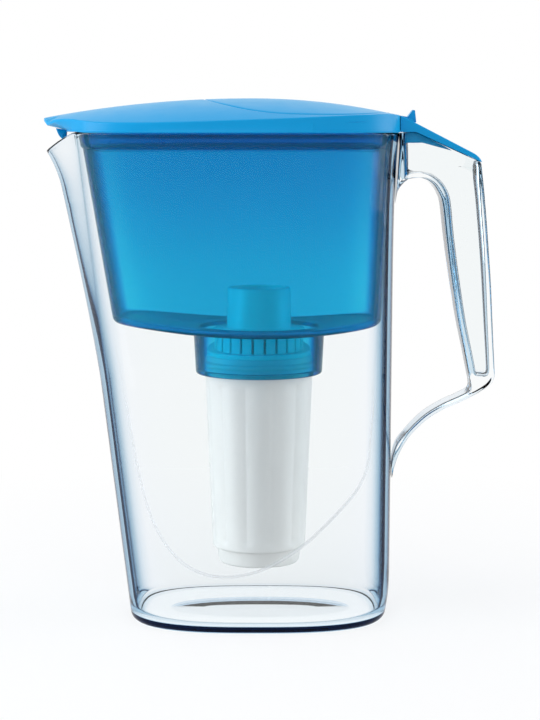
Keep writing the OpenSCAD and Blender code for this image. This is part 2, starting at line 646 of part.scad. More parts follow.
module flap_panel() {
    function ring(scale, inset, drop) = [for (t = lid_turns)
        let (p = [flap_x, 0] + scale * (flap_edge(t, -inset) - [flap_x, 0]))
        [p.x, p.y, lid_top(p.x, p.y) - drop]];
    shares = [0.3, 0.55, 0.75, 0.9];
    rings = concat(
        [for (s = shares) ring(s, 0, flap_t)],
        [ring(1, 0.9, flap_t), ring(1, 0, flap_t - 0.9), ring(1, 0, 0.3), ring(1, 0.3, 0)],
        [for (k = [len(shares) - 1:-1:0]) ring(shares[k], 0, 0)]);
    color([0.3, 0.69, 0.89]) skin(rings);
}

module flap_lever() {
    barrel_r = 2.2;
    front = flap_back + 0.15;
    rear = lid_back;
    tab_x = pivot_x + 2.4;
    strip = [[front, lid_top(front, 0)], [rear, lid_top(rear, 0)], [pivot_x, pivot_z + barrel_r],
        [pivot_x, pivot_z], [rear, lid_top(rear, 0) - tongue_t], [front, lid_top(front, 0) - tongue_t]];
    tab = [[pivot_x - 1.8, pivot_z + 1], [tab_x - 0.6, pivot_z + tab_h], [tab_x + 0.4, pivot_z + tab_h - 0.3],
        [pivot_x + 3.4, pivot_z - 0.3], [pivot_x, pivot_z - 1.6]];
    color([0.1, 0.58, 0.82]) rotate([90, 0, 0]) union() {
        translate([0, 0, -tongue_w / 2]) linear_extrude(tongue_w) polygon(strip);
        translate([pivot_x, pivot_z, -tongue_w / 2]) cylinder(h = tongue_w, r = barrel_r);
        translate([0, 0, -tab_w / 2]) linear_extrude(tab_w) polygon(tab);
        translate([pivot_x, pivot_z, -tail_w / 2 + side_gap])
            cylinder(h = tail_w - 2 * side_gap, d = pivot_d);
    }
}

jug_vessel();
handle_grip();
handle_brace();
funnel();
funnel_socket();
cartridge_body();
cartridge_cap();
cartridge_base();
cartridge_seal();
inlet_screen();
inlet_pad();
filter_media();
outlet_pad();
outlet_screen();
lid_frame();
lid_tail();
lid_rib();
flap_panel();
flap_lever();
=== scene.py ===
"""Water filter pitcher: clear jug with spout and hollow handle, blue funnel, cartridge and flip lid."""

import math

import bpy
import numpy as np
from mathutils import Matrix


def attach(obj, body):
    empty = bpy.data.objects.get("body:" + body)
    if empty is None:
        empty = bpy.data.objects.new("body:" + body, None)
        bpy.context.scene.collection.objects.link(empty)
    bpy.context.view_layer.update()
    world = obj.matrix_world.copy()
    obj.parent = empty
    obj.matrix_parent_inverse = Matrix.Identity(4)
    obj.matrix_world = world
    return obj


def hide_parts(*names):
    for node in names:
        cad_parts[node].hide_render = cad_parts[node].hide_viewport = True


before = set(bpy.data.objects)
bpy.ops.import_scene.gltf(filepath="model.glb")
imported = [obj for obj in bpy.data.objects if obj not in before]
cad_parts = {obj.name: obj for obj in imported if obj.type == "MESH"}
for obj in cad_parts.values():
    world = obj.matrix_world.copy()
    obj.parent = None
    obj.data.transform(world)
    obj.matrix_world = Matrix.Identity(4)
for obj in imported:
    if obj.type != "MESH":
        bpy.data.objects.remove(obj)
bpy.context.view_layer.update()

# ---- The table, the light and the camera ----
# A pale table under one large soft lamp above and one at each side. Sight, gloss and clear plastic meet plain
# white all round, as in front of a lit studio wall, and the table keeps the pitcher's soft shadow.


def srgb(code):
    """A hex colour such as #4DB0E2 as linear red, green, blue and full alpha: ((c + 0.055) / 1.055) ^ 2.4."""
    parts = [int(code[k : k + 2], 16) / 255 for k in (1, 3, 5)]
    return [c / 12.92 if c < 0.04045 else ((c + 0.055) / 1.055) ** 2.4 for c in parts] + [1.0]


def add(tree, kind, links=(), stops=(), **settings):
    """A new node. Each link is (input, socket that feeds it), each stop is (place, colour) on a colour ramp,
    and each setting sets a property or an input."""
    made = tree.nodes.new("ShaderNode" + kind)
    for name, value in settings.items():
        if hasattr(made, name):
            setattr(made, name, value)
        else:
            made.inputs[name.replace("_", " ")].default_value = value
    for k, (place, colour) in enumerate(stops):
        stop = made.color_ramp.elements[k] if k < 2 else made.color_ramp.elements.new(place)
        stop.position = place
        stop.color = srgb(colour)
    for name, source in links:
        tree.links.new(source, made.inputs[name])
    return made


def sighted(tree):
    """A socket that is 1 for rays of sight, gloss and clear plastic, and 0 for rays that carry light."""
    path = add(tree, "LightPath")
    first = add(tree, "Math", [(0, path.outputs["Is Camera Ray"]), (1, path.outputs["Is Glossy Ray"])],
                operation="MAXIMUM")
    both = add(tree, "Math", [(0, first.outputs[0]), (1, path.outputs["Is Transmission Ray"])],
               operation="MAXIMUM")
    return both.outputs[0]


def blank_material(name):
    """A new material with no nodes yet, and its node tree."""
    made = bpy.data.materials.new(name)
    made.use_nodes = True
    made.node_tree.nodes.clear()
    return made, made.node_tree


scene = bpy.context.scene
scene.view_settings.view_transform = "Standard"
world = bpy.data.worlds.new("white studio")
scene.world = world
world.use_nodes = True
sky = world.node_tree
sky.nodes.clear()
soft_light = add(sky, "Background", Color=srgb("#F4F8FF"), Strength=0.62)
white_wall = add(sky, "Background", Color=srgb("#FFFFFF"), Strength=1.0)
choice = add(sky, "MixShader", [(0, sighted(sky)), (1, soft_light.outputs[0]), (2, white_wall.outputs[0])])
add(sky, "OutputWorld", [("Surface", choice.outputs[0])])

TABLE_HALF = 3.0
table = bpy.data.meshes.new("table")
corners = [(-1, -1), (1, -1), (1, 1), (-1, 1)]
table.from_pydata([(TABLE_HALF * x, TABLE_HALF * y, 0) for x, y in corners], [], [(0, 1, 2, 3)])
table_top = bpy.data.objects.new("table", table)
scene.collection.objects.link(table_top)
paper, tree = blank_material("matt white paper")
place = add(tree, "TexCoord")
away = add(tree, "VectorMath", [(0, place.outputs["Object"])], operation="LENGTH")
far = add(tree, "MapRange", [("Value", away.outputs["Value"])], From_Min=0.12, From_Max=0.42, To_Min=0.72,
          To_Max=1.0)
share = add(tree, "Math", [(0, sighted(tree)), (1, far.outputs[0])], operation="MULTIPLY")
lit = add(tree, "BsdfDiffuse", Color=srgb("#F6F8F9"))
glow = add(tree, "Emission", Color=srgb("#FFFFFF"), Strength=1.0)
blend = add(tree, "MixShader", [(0, share.outputs[0]), (1, lit.outputs[0]), (2, glow.outputs[0])])
add(tree, "OutputMaterial", [("Surface", blend.outputs[0])])
table.materials.append(paper)


def softbox(name, place, aim, size, power):
    """A square area lamp at place that faces aim. Its power is in watts and its size in metres."""
    lamp = bpy.data.lights.new(name, "AREA")
    lamp.size = size
    lamp.energy = power
    holder = bpy.data.objects.new(name, lamp)
    scene.collection.objects.link(holder)
    away = np.array(place) - np.array(aim)
    holder.location = place
    holder.rotation_euler = (math.atan2(math.hypot(away[0], away[1]), away[2]), 0,
                             math.atan2(away[0], -away[1]))


MIDDLE = (0, 0, 0.14)
softbox("lamp above", (-0.25, -0.35, 1.25), MIDDLE, 1.0, 4.5)
softbox("lamp left", (-1.25, -0.3, 0.5), MIDDLE, 0.8, 8.5)
softbox("lamp right", (1.2, 0.15, 0.5), MIDDLE, 0.8, 5.5)

# The camera stands level with the lid's lower edge, about a metre off
eye = bpy.data.cameras.new("camera")
eye.lens = 97.4
eye.shift_y = -0.215
eye.clip_start = 0.05
camera = bpy.data.objects.new("camera", eye)
camera.location = (0.0005, -0.970, 0.2405)
camera.rotation_euler = (math.radians(90 - 2.18), 0, 0)
scene.collection.objects.link(camera)
scene.camera = camera

# ---- Jug vessel ----
# Injection moulded in one shot with the handle, in clear styrene-acrylonitrile. Sizes are in millimetres. The
# wall is even, the rim rounded, the spout swells out of the narrow end, and each side has a shallow panel.
MM = 0.001
RIM_Z = 240.0
RIM_FRONT, RIM_BACK, RIM_HALF = -99.2, 64.5, 52.2
BASE_FRONT, BASE_BACK, BASE_HALF = -68.6, 59.8, 48.5
WALL = 2.4
PLAN_POWER = 2.8
SPOUT_FOOT, LIP_DROP, LIP_HEIGHT = 118.0, 9.0, 19.0
SPOUT_REACH, LIP_CURL, SPOUT_HALF = 9.2, 3.6, 28.0
LIP_Z = RIM_Z - LIP_DROP


def ramp(value, low, high):
    """Rises in a straight line from 0 at low to 1 at high."""
    return np.clip((value - low) / (high - low), 0, 1)


def smooth(value, low, high):
    """Rises from 0 at low to 1 at high with level ends: t * t * (3 - 2 * t)."""
    t = ramp(value, low, high)
    return t * t * (3 - 2 * t)


def oval(turn, x0, x1, half, power=PLAN_POWER):
    """Rounded oval from x0 to x1: the edge lies (|cos / a|^n + |sin / b|^n)^(-1 / n) from the middle."""
    a = (x1 - x0) / 2
    reach = (np.abs(np.cos(turn) / a) ** power + np.abs(np.sin(turn) / half) ** power) ** (-1 / power)
    return (x0 + x1) / 2 + reach * np.cos(turn), reach * np.sin(turn)


def even_turns(count, x0, x1, half, crowd):
    """Angles that divide the oval's edge evenly, but closer by the factor crowd(x, y)."""
    fine = np.linspace(0, 2 * math.pi, 20001)
    x, y = oval(fine, x0, x1, half)
    step = np.hypot(np.diff(x), np.diff(y)) * crowd((x[1:] + x[:-1]) / 2, (y[1:] + y[:-1]) / 2)
    along = np.concatenate([[0], np.cumsum(step)])
    return np.interp(np.arange(count) / count * along[-1], along, fine)


def skin(name, grids, loop=False):
    """A mesh of closed forms. Each grid holds rings of points in mm, anticlockwise from above, up the outside
    and down the inside. With loop the last ring joins the first; without it a fan closes each end."""
    points, faces, start = [], [], 0
    for grid in grids if isinstance(grids, list) else [grids]:
        rings, count = grid.shape[:2]
        corner = start + np.arange(rings * count).reshape(rings, count)
        beside = np.roll(corner, -1, axis=1)
        last = rings if loop else rings - 1
        above, over = np.roll(corner, -1, axis=0), np.roll(beside, -1, axis=0)
        quads = np.stack([corner[:last], beside[:last], over[:last], above[:last]], -1)
        faces += quads.reshape(-1, 4).tolist()
        points.append(grid.reshape(-1, 3))
        start += rings * count
        if not loop:
            points.append(np.stack([(r.min(axis=0) + r.max(axis=0)) / 2 for r in (grid[0], grid[-1])]))
            tip = np.full(count, start)
            faces += np.stack([tip, beside[0], corner[0]], -1).tolist()
            faces += np.stack([tip + 1, corner[-1], beside[-1]], -1).tolist()
            start += 2
    mesh = bpy.data.meshes.new(name)
    mesh.from_pydata((np.concatenate(points) * MM).tolist(), [], faces)
    mesh.shade_smooth()
    mesh.set_sharp_from_angle(angle=math.radians(50))
    made = bpy.data.objects.new(name, mesh)
    scene.collection.objects.link(made)
    return made


def jug_front(z):
    """X of the spout side, without the spout: a straight lean."""
    return BASE_FRONT + (RIM_FRONT - BASE_FRONT) * z / RIM_Z


def jug_back(z):
    """X of the handle side: half the lean is straight, and half is a flare z^12 at the rim and a foot that
    draws in by a parabola."""
    lean = RIM_BACK - BASE_BACK
    return BASE_BACK + lean / 2 * (z / RIM_Z + ramp(z, 0, RIM_Z) ** 12 - ramp(-z, -22, 0) ** 2)


def jug_half(z):
    """Half width: a straight lean."""
    return BASE_HALF + (RIM_HALF - BASE_HALF) * z / RIM_Z


def spout_out(z):
    """How far the spout stands out: a slow swell to the lip, and the lip's own curl as a parabola."""
    return (SPOUT_REACH * ramp(z, SPOUT_FOOT, LIP_Z) ** 1.2
            + LIP_CURL * ramp(z, LIP_Z - LIP_HEIGHT, LIP_Z) ** 2)


def wall_point(turn, z, inset):
    """A point of the jug's wall. The spout's share is (1 - (y / half)^2)^2, and its rim dips to the lip."""
    x, y = oval(turn, jug_front(z) + inset, jug_back(z) - inset, jug_half(z) - inset)
    share = np.where(np.cos(turn) < 0, np.clip(1 - (y / (SPOUT_HALF - inset)) ** 2, 0, 1) ** 2, 0)
    height = z - LIP_DROP * share * ramp(z, RIM_Z - 4 * LIP_DROP, RIM_Z)
    x, y = oval(turn, jug_front(height) + inset, jug_back(height) - inset, jug_half(height) - inset)
    return np.stack([x - share * spout_out(height), y, height + 0 * x], -1)


# The side panel's edge as points in X and Z. It fades out above, where the funnel hangs
PANEL_MIDDLE = (-8.0, 112.0)
PANEL_DEPTH = 0.03
PANEL_EDGE = [(-71.3, 128), (-67.5, 107), (-64.6, 89.4), (-61.3, 72.7), (-57.5, 58), (-51.8, 46),
              (-45, 37), (-37.5, 31.4), (-27.6, 28.1), (-16.2, 28.1), (-2.9, 31.4), (7.1, 37),
              (17.1, 43.7), (27.1, 52.8), (36, 61.5), (42.3, 68), (47, 77), (48.6, 93.6),
              (49.7, 116), (50.4, 129), (51, 160), (48, 190), (30, 206), (0, 210),
              (-40, 208), (-66, 198), (-76, 175), (-75, 150)]


def inside_panel(x, z):
    """Distance in mm inside the panel's edge, from the bearing and distance round its middle. A running mean
    over the edge's reach rounds its corners."""
    edge_x, edge_z = np.array(PANEL_EDGE).T
    bearing = np.mod(np.arctan2(edge_z - PANEL_MIDDLE[1], edge_x - PANEL_MIDDLE[0]), 2 * math.pi)
    reach = np.hypot(edge_x - PANEL_MIDDLE[0], edge_z - PANEL_MIDDLE[1])
    order = np.argsort(bearing)
    laps = 2 * math.pi * np.arange(-3, 3)[:, None]
    fine = np.linspace(-4 * math.pi, 4 * math.pi, 8001)
    curve = np.interp(fine, (bearing[order] + laps).ravel(), np.tile(reach[order], 6))
    bell = np.hanning(101)
    curve = np.convolve(curve, bell / bell.sum(), "same")
    angle = np.arctan2(z - PANEL_MIDDLE[1], x - PANEL_MIDDLE[0])
    return np.interp(angle, fine, curve) - np.hypot(x - PANEL_MIDDLE[0], z - PANEL_MIDDLE[1])


jug_turns = even_turns(380, RIM_FRONT, RIM_BACK, RIM_HALF,
                       lambda x, y: 1 + 0.9 * (np.abs(y) < SPOUT_HALF) * (x < 0) + 0.25 * (np.abs(y) > 40))
FOOT_ROUND, FLOOR, FLOOR_ROUND, RIM_ROUND = 3.0, 2.2, 6.0, 1.1
KICK_MIDDLE, KICK_HALF_LENGTH, KICK_HALF_WIDTH = -4.4, 45.0, 22.0
KICK_HEIGHT, KICK_CLIMB, KICK_POWER = 1.2, 17, 2.2


def kick_rings(margins, level, climb):
    """Rings across the edge of the oval that is raised in the underside, from a margin outside it to one
    inside. The height climbs in a straight line over 17 mm."""
    rings = []
    for margin in margins:
        x, y = oval(jug_turns, KICK_MIDDLE - KICK_HALF_LENGTH - margin,
                    KICK_MIDDLE + KICK_HALF_LENGTH + margin, KICK_HALF_WIDTH + margin, KICK_POWER)
        rings.append(np.stack([x, y, 0 * x + level + climb * ramp(-margin, 0, KICK_CLIMB)], -1))
    return np.stack(rings)


bend = np.radians(np.arange(0, 90, 10))[:, None]
bend_back = np.radians(np.arange(0, 91, 10))[:, None]
half_turn = np.radians(np.arange(0, 181, 18))[:, None]
outer_levels = np.concatenate([[FOOT_ROUND], np.arange(6, 22, 2.0), np.arange(22, 100, 1.0),
                               np.arange(100, 212, 4.0), np.arange(212, RIM_Z - RIM_ROUND, 1.2)])[:, None]
inner_levels = np.concatenate([np.arange(RIM_Z - RIM_ROUND - 1, 205, -1.5),
                               np.arange(205, 12, -8.0)])[:, None]
outside = np.concatenate([
    kick_rings([-21, -17.3, -17, -16.7, *np.arange(-15.5, 0, 1.5), -0.3, 0, 0.3, 3], 0, KICK_HEIGHT),
    wall_point(jug_turns, FOOT_ROUND * (1 - np.cos(bend)), FOOT_ROUND * (1 - np.sin(bend))),
    wall_point(jug_turns, outer_levels, 0)])
on_side = ((np.abs(outside[..., 1]) > 30) * ramp(outside[..., 2], 6, 20)
           * (1 - smooth(outside[..., 2], 140, 172)))
depth_in = inside_panel(outside[..., 0], outside[..., 2])
sunk = PANEL_DEPTH * smooth(depth_in, -2.4, 2.4) * on_side
outside[..., 1] -= np.sign(outside[..., 1]) * sunk
rim = wall_point(jug_turns, RIM_Z - RIM_ROUND + RIM_ROUND * np.sin(half_turn),
                 WALL / 2 * (1 - np.cos(half_turn)))
floor_corner = wall_point(jug_turns, FLOOR + FLOOR_ROUND * (1 - np.sin(bend_back)),
                          WALL + FLOOR_ROUND * (1 - np.cos(bend_back)))
floor = kick_rings([3, -10, -21], FLOOR, 0)
vessel_grid = np.concatenate([outside, rim, wall_point(jug_turns, inner_levels, WALL), floor_corner, floor])
vessel = skin("clear_jug", vessel_grid)
# The panel's edge carries a painted highlight: a fine white line on the outer skin, strongest low on the jug,
# where light catches it
for label, field in (("panel_edge", depth_in), ("painted_crease_highlight", on_side * (1 - smooth(outside[..., 2], 60, 150)))):
    values = np.zeros(vessel_grid.shape[:2])
    values[:len(outside)] = field
    layer = vessel.data.attributes.new(label, "FLOAT", "POINT")
    layer.data.foreach_set("value", np.append(values.ravel(), [0, 0]))

SAN_IOR = 1.57


def glassy(name, stops, level_share, edge_level, inside, level_inside, crown, milk_and_highlight_colour, milk_and_highlight_share, shade,
           ripple_size, ripple):
    """Clear moulded plastic. Light that crosses the skin takes the ramp's colour, which deepens to a slant,
    more slowly by the level share on level skin: its faint blue is the plastic's own tint, and its navy is
    painted edge shade for the dark surroundings seen in the edges. Navy is painted too where light is about
    to be thrown back inside the wall, as painted edge shade, and at the jug's foot, as painted shade of the
    table under it. What is thrown back whole takes the colour inside, or level_inside on level skin; what is
    thrown back only in part is painted navy, a painted dark reflection. The colour crown is multiplied in
    towards the rim as painted shade under the lid. Milk scatters in the plastic, and shade colours its
    shadow. Without a share given, a white scatter on the outer skin along the jug's panel edge is a painted
    highlight."""
    made, tree = blank_material(name)
    place = add(tree, "TexCoord")
    waves = add(tree, "TexNoise", [("Vector", place.outputs["Object"])],
                Scale=1 / (ripple_size * MM), Detail=1.0)
    bump = add(tree, "Bump", [("Height", waves.outputs[0])], Strength=ripple, Distance=MM)
    side = add(tree, "NewGeometry")
    level = add(tree, "SeparateXYZ", [(0, side.outputs["Normal"])])
    flat = add(tree, "Math", [(0, level.outputs["Z"])], operation="ABSOLUTE")
    upright = add(tree, "Math", [(0, flat.outputs[0])], operation="MULTIPLY_ADD")
    upright.inputs[1].default_value = -level_share
    upright.inputs[2].default_value = 1.0
    # Where the ramp deepens to navy at a slant it is painted edge shade for the dark surroundings seen there;
    # only its faint blue is the plastic's own tint
    slant = add(tree, "LayerWeight", Blend=0.5)
    steep = add(tree, "Math", [(0, slant.outputs["Facing"]), (1, upright.outputs[0])], operation="MULTIPLY")
    inner = add(tree, "Fresnel", [("Normal", bump.outputs[0])], IOR=SAN_IOR)
    leaving = add(tree, "Math", [(0, inner.outputs[0]), (1, side.outputs["Backfacing"])],
                  operation="MULTIPLY")
    wall = add(tree, "MapRange", [("Value", flat.outputs[0])], To_Min=2.7, To_Max=edge_level)
    deep = add(tree, "Math", [(0, leaving.outputs[0]), (1, wall.outputs[0]), (2, steep.outputs[0])],
               operation="MULTIPLY_ADD")
    spot = add(tree, "SeparateXYZ", [(0, place.outputs["Object"])])
    # Navy on the curved outer skin of the lowest 4.5 mm is painted shade of the table under the jug's foot
    foot = add(tree, "MapRange", [("Value", spot.outputs["Z"])], From_Min=4.5 * MM, From_Max=3.0 * MM,
               To_Max=2.0)
    hidden = add(tree, "Math", [(0, flat.outputs[0]), (1, side.outputs["Backfacing"])], operation="MAXIMUM")
    curved = add(tree, "Math", [(1, hidden.outputs[0])], operation="SUBTRACT")
    curved.inputs[0].default_value = 1.0
    painted_foot_shade = add(tree, "Math", [(0, foot.outputs[0]), (1, curved.outputs[0]), (2, deep.outputs[0])],
                     operation="MULTIPLY_ADD")
    tint = add(tree, "ValToRGB", [("Fac", painted_foot_shade.outputs[0])], stops)
    # The crown colour, multiplied in towards the rim, is painted shade under the lid
    rise = add(tree, "MapRange", [("Value", spot.outputs["Z"])], interpolation_type="SMOOTHSTEP",
               From_Min=150 * MM, From_Max=235 * MM)
    tint_with_painted_rim_shade = add(tree, "MixRGB", [("Fac", rise.outputs[0]), ("Color1", tint.outputs[0])],
                  blend_type="MULTIPLY", Color2=srgb(crown))
    through = add(tree, "BsdfRefraction", [("Color", tint_with_painted_rim_shade.outputs[0]), ("Normal", bump.outputs[0])],
                  Roughness=0.0, IOR=SAN_IOR)
    full = add(tree, "MapRange", [("Value", inner.outputs[0])], From_Min=0.6, From_Max=0.9)
    either = add(tree, "Math", [(0, full.outputs[0]), (1, flat.outputs[0])], operation="MAXIMUM")
    bright = add(tree, "MixRGB", [("Fac", flat.outputs[0])], Color1=srgb(inside), Color2=srgb(level_inside))
    # Reflections thrown back inside only in part are painted navy, a painted dark reflection
    kept_in = add(tree, "MixRGB", [("Fac", either.outputs[0]), ("Color2", bright.outputs[0])],
                  Color1=srgb("#102A54"))
    thrown = add(tree, "MixRGB", [("Fac", side.outputs["Backfacing"]), ("Color2", kept_in.outputs[0])],
                 Color1=srgb("#FFFFFF"))
    mirror = add(tree, "BsdfGlossy", [("Color", thrown.outputs[0]), ("Normal", bump.outputs[0])],
                 Roughness=0.02)
    outer = add(tree, "LayerWeight", [("Normal", bump.outputs[0])], Blend=0.13)
    turned = add(tree, "MapRange", [("Value", inner.outputs[0])], From_Min=0.06)
    split = add(tree, "Mix", [(0, side.outputs["Backfacing"]), (2, outer.outputs["Fresnel"]),
                              (3, turned.outputs[0])])
    body = add(tree, "MixShader", [(0, split.outputs[0]), (1, through.outputs[0]), (2, mirror.outputs[0])])
    if milk_and_highlight_share is None:
        # With no share given, a white scatter on the outer skin along the panel's edge is a painted highlight
        edge = add(tree, "Attribute", attribute_name="panel_edge")
        off_line = add(tree, "Math", [(0, edge.outputs["Fac"])], operation="ABSOLUTE")
        line = add(tree, "MapRange", [("Value", off_line.outputs[0])], interpolation_type="SMOOTHSTEP",
                   From_Max=1.2, To_Min=0.6, To_Max=0.0)
        fine = add(tree, "Attribute", attribute_name="painted_crease_highlight")
        drawn = add(tree, "Math", [(0, line.outputs[0]), (1, fine.outputs["Fac"])], operation="MULTIPLY")
        entering = add(tree, "Math", [(1, side.outputs["Backfacing"])], operation="SUBTRACT")
        entering.inputs[0].default_value = 1.0
        painted_highlight_share = add(tree, "Math", [(0, drawn.outputs[0]), (1, entering.outputs[0])],
                         operation="MULTIPLY")
        milk_and_highlight_share = painted_highlight_share.outputs[0]
    if milk_and_highlight_share:
        front = add(tree, "BsdfDiffuse", Color=srgb(milk_and_highlight_colour))
        back = add(tree, "BsdfTranslucent", Color=srgb(milk_and_highlight_colour))
        cloud = add(tree, "MixShader", [(1, front.outputs[0]), (2, back.outputs[0])])
        body = add(tree, "MixShader", [(1, body.outputs[0]), (2, cloud.outputs[0])])
        if isinstance(milk_and_highlight_share, float):
            body.inputs[0].default_value = milk_and_highlight_share
        else:
            tree.links.new(milk_and_highlight_share, body.inputs[0])
    path = add(tree, "LightPath")
    passed = add(tree, "BsdfTransparent", Color=srgb(shade))
    whole = add(tree, "MixShader", [(0, path.outputs["Is Shadow Ray"]), (1, body.outputs[0]),
                                    (2, passed.outputs[0])])
    add(tree, "OutputMaterial", [("Surface", whole.outputs[0])])
    return made


# Styrene-acrylonitrile, polished mould: water clear, with a faint blue at a slant. The navy at its very edges
# and its foot is painted shade, and the white line along each side panel's edge a painted highlight
clear = glassy("moulded clear SAN", [(0.0, "#FCFDFD"), (0.35, "#FCFDFE"), (0.6, "#E8F2F8"), (0.75, "#D2E3EE"),
                                     (0.86, "#9CBAD0"), (0.94, "#2C5078"), (1.0, "#0A1A38")],
               0.5, 0.0, "#CCE0EC", "#F4F9FD", "#FFFFFF", "#FFFFFF", None, "#F4F9FC", 38, 0.05)
vessel.data.materials.append(clear)
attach(vessel, "jug")
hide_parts("jug_vessel")

# ---- Handle ----
# Moulded in one with the vessel, in the same clear plastic. The grip is hollow and open at its top, under the
# lid's tail. A thin ribbon runs on from its foot back to the wall.

# Each row is a point on the finger side and its partner outside, in X and Z, then the half width and
# how fast the line climbs from the wall. Rows run from the ribbon's wall end up the grip and over the arch
PAIRS = np.array([
    (60.9, 74.5, 61.1, 68.0, 8.0, 1), (61.9, 80.0, 62.6, 74.6, 8.2, 1),
    (63.6, 85.0, 65.2, 81.4, 8.5, 1), (67.6, 90.2, 69.3, 88.3, 8.5, 1),
    (72.9, 95.9, 74.4, 93.8, 8.5, 1), (78.5, 100.7, 79.8, 98.4, 8.5, 1),
    (86.1, 105.2, 87.2, 102.8, 8.5, 1), (93.8, 108.7, 94.9, 106.1, 8.6, 1),
    (98.6, 111.2, 100.0, 108.6, 8.8, 1), (99.9, 113.0, 104.6, 111.0, 9.0, 1),
    (99.8, 116.0, 109.6, 114.4, 9.2, 1), (98.9, 120.5, 111.88, 118.6, 9.4, 1),
    (97.6, 127.0, 111.8, 124.5, 9.6, 1), (95.8, 136.0, 111.3, 134.0, 9.9, 1),
    (93.3, 148.0, 110.7, 146.5, 10.4, 1), (90.4, 166.0, 109.8, 165.0, 11.2, 1),
    (88.4, 180.0, 108.8, 179.0, 11.8, 1), (87.0, 191.4, 108.0, 190.0, 12.2, 1),
    (85.6, 204.0, 107.1, 201.0, 12.5, 1), (84.1, 209.2, 106.7, 205.5, 12.5, 1),
    (81.4, 213.6, 106.4, 209.5, 12.5, 1), (77.9, 216.3, 106.0, 213.5, 12.5, 1),
    (73.8, 217.5, 105.6, 217.5, 12.5, 1), (70.0, 216.9, 105.4, 219.8, 12.5, 0.5),
    (66.7, 214.6, 105.2, 221.4, 12.5, 0.33), (64.0, 210.4, 105.1, 222.8, 12.5, 0.22),
    (62.9, 204.5, 105.0, 223.4, 12.5, 0.16)])
HOLLOW = np.array([
    (103.6, 118.6, 107.4, 118.4, 3.0, 1), (102.0, 119.6, 108.8, 119.6, 6.4, 1),
    (101.3, 122.6, 109.3, 122.2, 7.1, 1), (100.2, 128.0, 109.2, 127.0, 7.3, 1),
    (98.3, 136.6, 108.8, 136.0, 7.6, 1), (95.8, 148.6, 108.2, 148.0, 8.0, 1),
    (92.9, 166.4, 107.4, 165.5, 8.8, 1), (90.9, 180.3, 106.6, 179.5, 9.4, 1),
    (89.4, 192.0, 105.8, 190.5, 9.8, 1), (88.1, 205.0, 104.9, 201.0, 10.1, 1),
    (86.4, 211.0, 104.6, 205.5, 10.1, 1), (83.0, 215.7, 104.2, 210.5, 10.1, 1),
    (78.6, 218.7, 103.8, 215.0, 10.1, 1), (74.0, 219.9, 103.5, 219.4, 10.1, 1),
    (70.2, 219.4, 103.3, 221.6, 10.1, 0.5), (67.8, 217.6, 103.1, 223.0, 10.1, 0.33),
    (66.8, 215.6, 103.0, 223.8, 10.1, 0.25)])
HANDLE_COUNT = 128
TAIL_SLOPE = 0.4545
MOUTH_GAP, TAIL_BEND = 0.3, 72.3


def through(rows, steps):
    """Rows on a smooth line through the given rows: Catmull-Rom pieces with that many steps each."""
    p = np.concatenate([[2 * rows[0] - rows[1]], rows, [2 * rows[-1] - rows[-2]]])
    t = (np.arange(steps) / steps)[None, :, None]
    a, b, c, d = (p[k : len(p) - 3 + k, None] for k in range(4))
    line = 0.5 * (2 * b + (c - a) * t + (2 * a - 5 * b + 4 * c - d) * t ** 2
                  + (3 * b - a - 3 * c + d) * t ** 3)
    return np.concatenate([line.reshape(-1, rows.shape[1]), rows[-1:]])


def tail_low(x):
    """Height of the lid tail's lower edge: level at the rim, then a straight fall."""
    return RIM_Z - TAIL_SLOPE * np.maximum(0, x - TAIL_BEND)


def off_wall(x, y, z, gap):
    """X kept a gap outside the jug's back wall: the wall's plan at that height, solved for x."""
    a = (jug_back(z) - jug_front(z)) / 2
    wall = jug_back(z) - a + a * np.clip(1 - np.abs(y / jug_half(z)) ** PLAN_POWER, 0, 1) ** (1 / PLAN_POWER)
    return np.maximum(x, wall + gap)


def grip_rings(rows, power, gap):
    """Rings between the pairs: a rounded square of that power, with its points crowded at the corners,
    stretched from the finger side to the outer side. Height runs from one to the other as u^rate, so that the
    last rings follow the arch down to the wall."""
    even = 2 * math.pi * np.arange(HANDLE_COUNT) / HANDLE_COUNT
    across, wide = oval(even + 0.2 * np.sin(4 * even), -1, 1, 1, power)
    u = (across + 1) / 2
    x0, z0, x1, z1, half, rate = (rows[:, k, None] for k in range(6))
    x = x0 + (x1 - x0) * u
    y = half * wide
    z = z0 + (z1 - z0) * np.maximum(u, 0) ** np.clip(rate, 0.1, 1)
    return np.stack([off_wall(x, y, z, gap), y, z], -1)


def mouth_rings(x0, x1, half, insets, drops, power, gap):
    """Rings at the handle's open top, which follows the tail's lower edge."""
    rows = np.array([(x0 + k, 0, x1 - k, 0, half - k, 1) for k in insets])
    rings = grip_rings(rows, power, gap)
    rings[..., 2] = tail_low(rings[..., 0]) - MOUTH_GAP - np.array(drops)[:, None]
    return rings


handle = skin("clear_handle", np.concatenate([
    grip_rings(through(PAIRS, 5), 11, 0.08),
    mouth_rings(64.4, 105.0, 12.5, [0, 0, 0.3, 0.9, 1.7, 2.2, 2.4], [6, 0.9, 0.25, 0, 0, 0.3, 1], 11, 0.08),
    grip_rings(through(HOLLOW, 5)[::-1], 9, 0.7)]))
handle.data.materials.append(clear)
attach(handle, "jug")
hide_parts("handle_grip", "handle_brace")

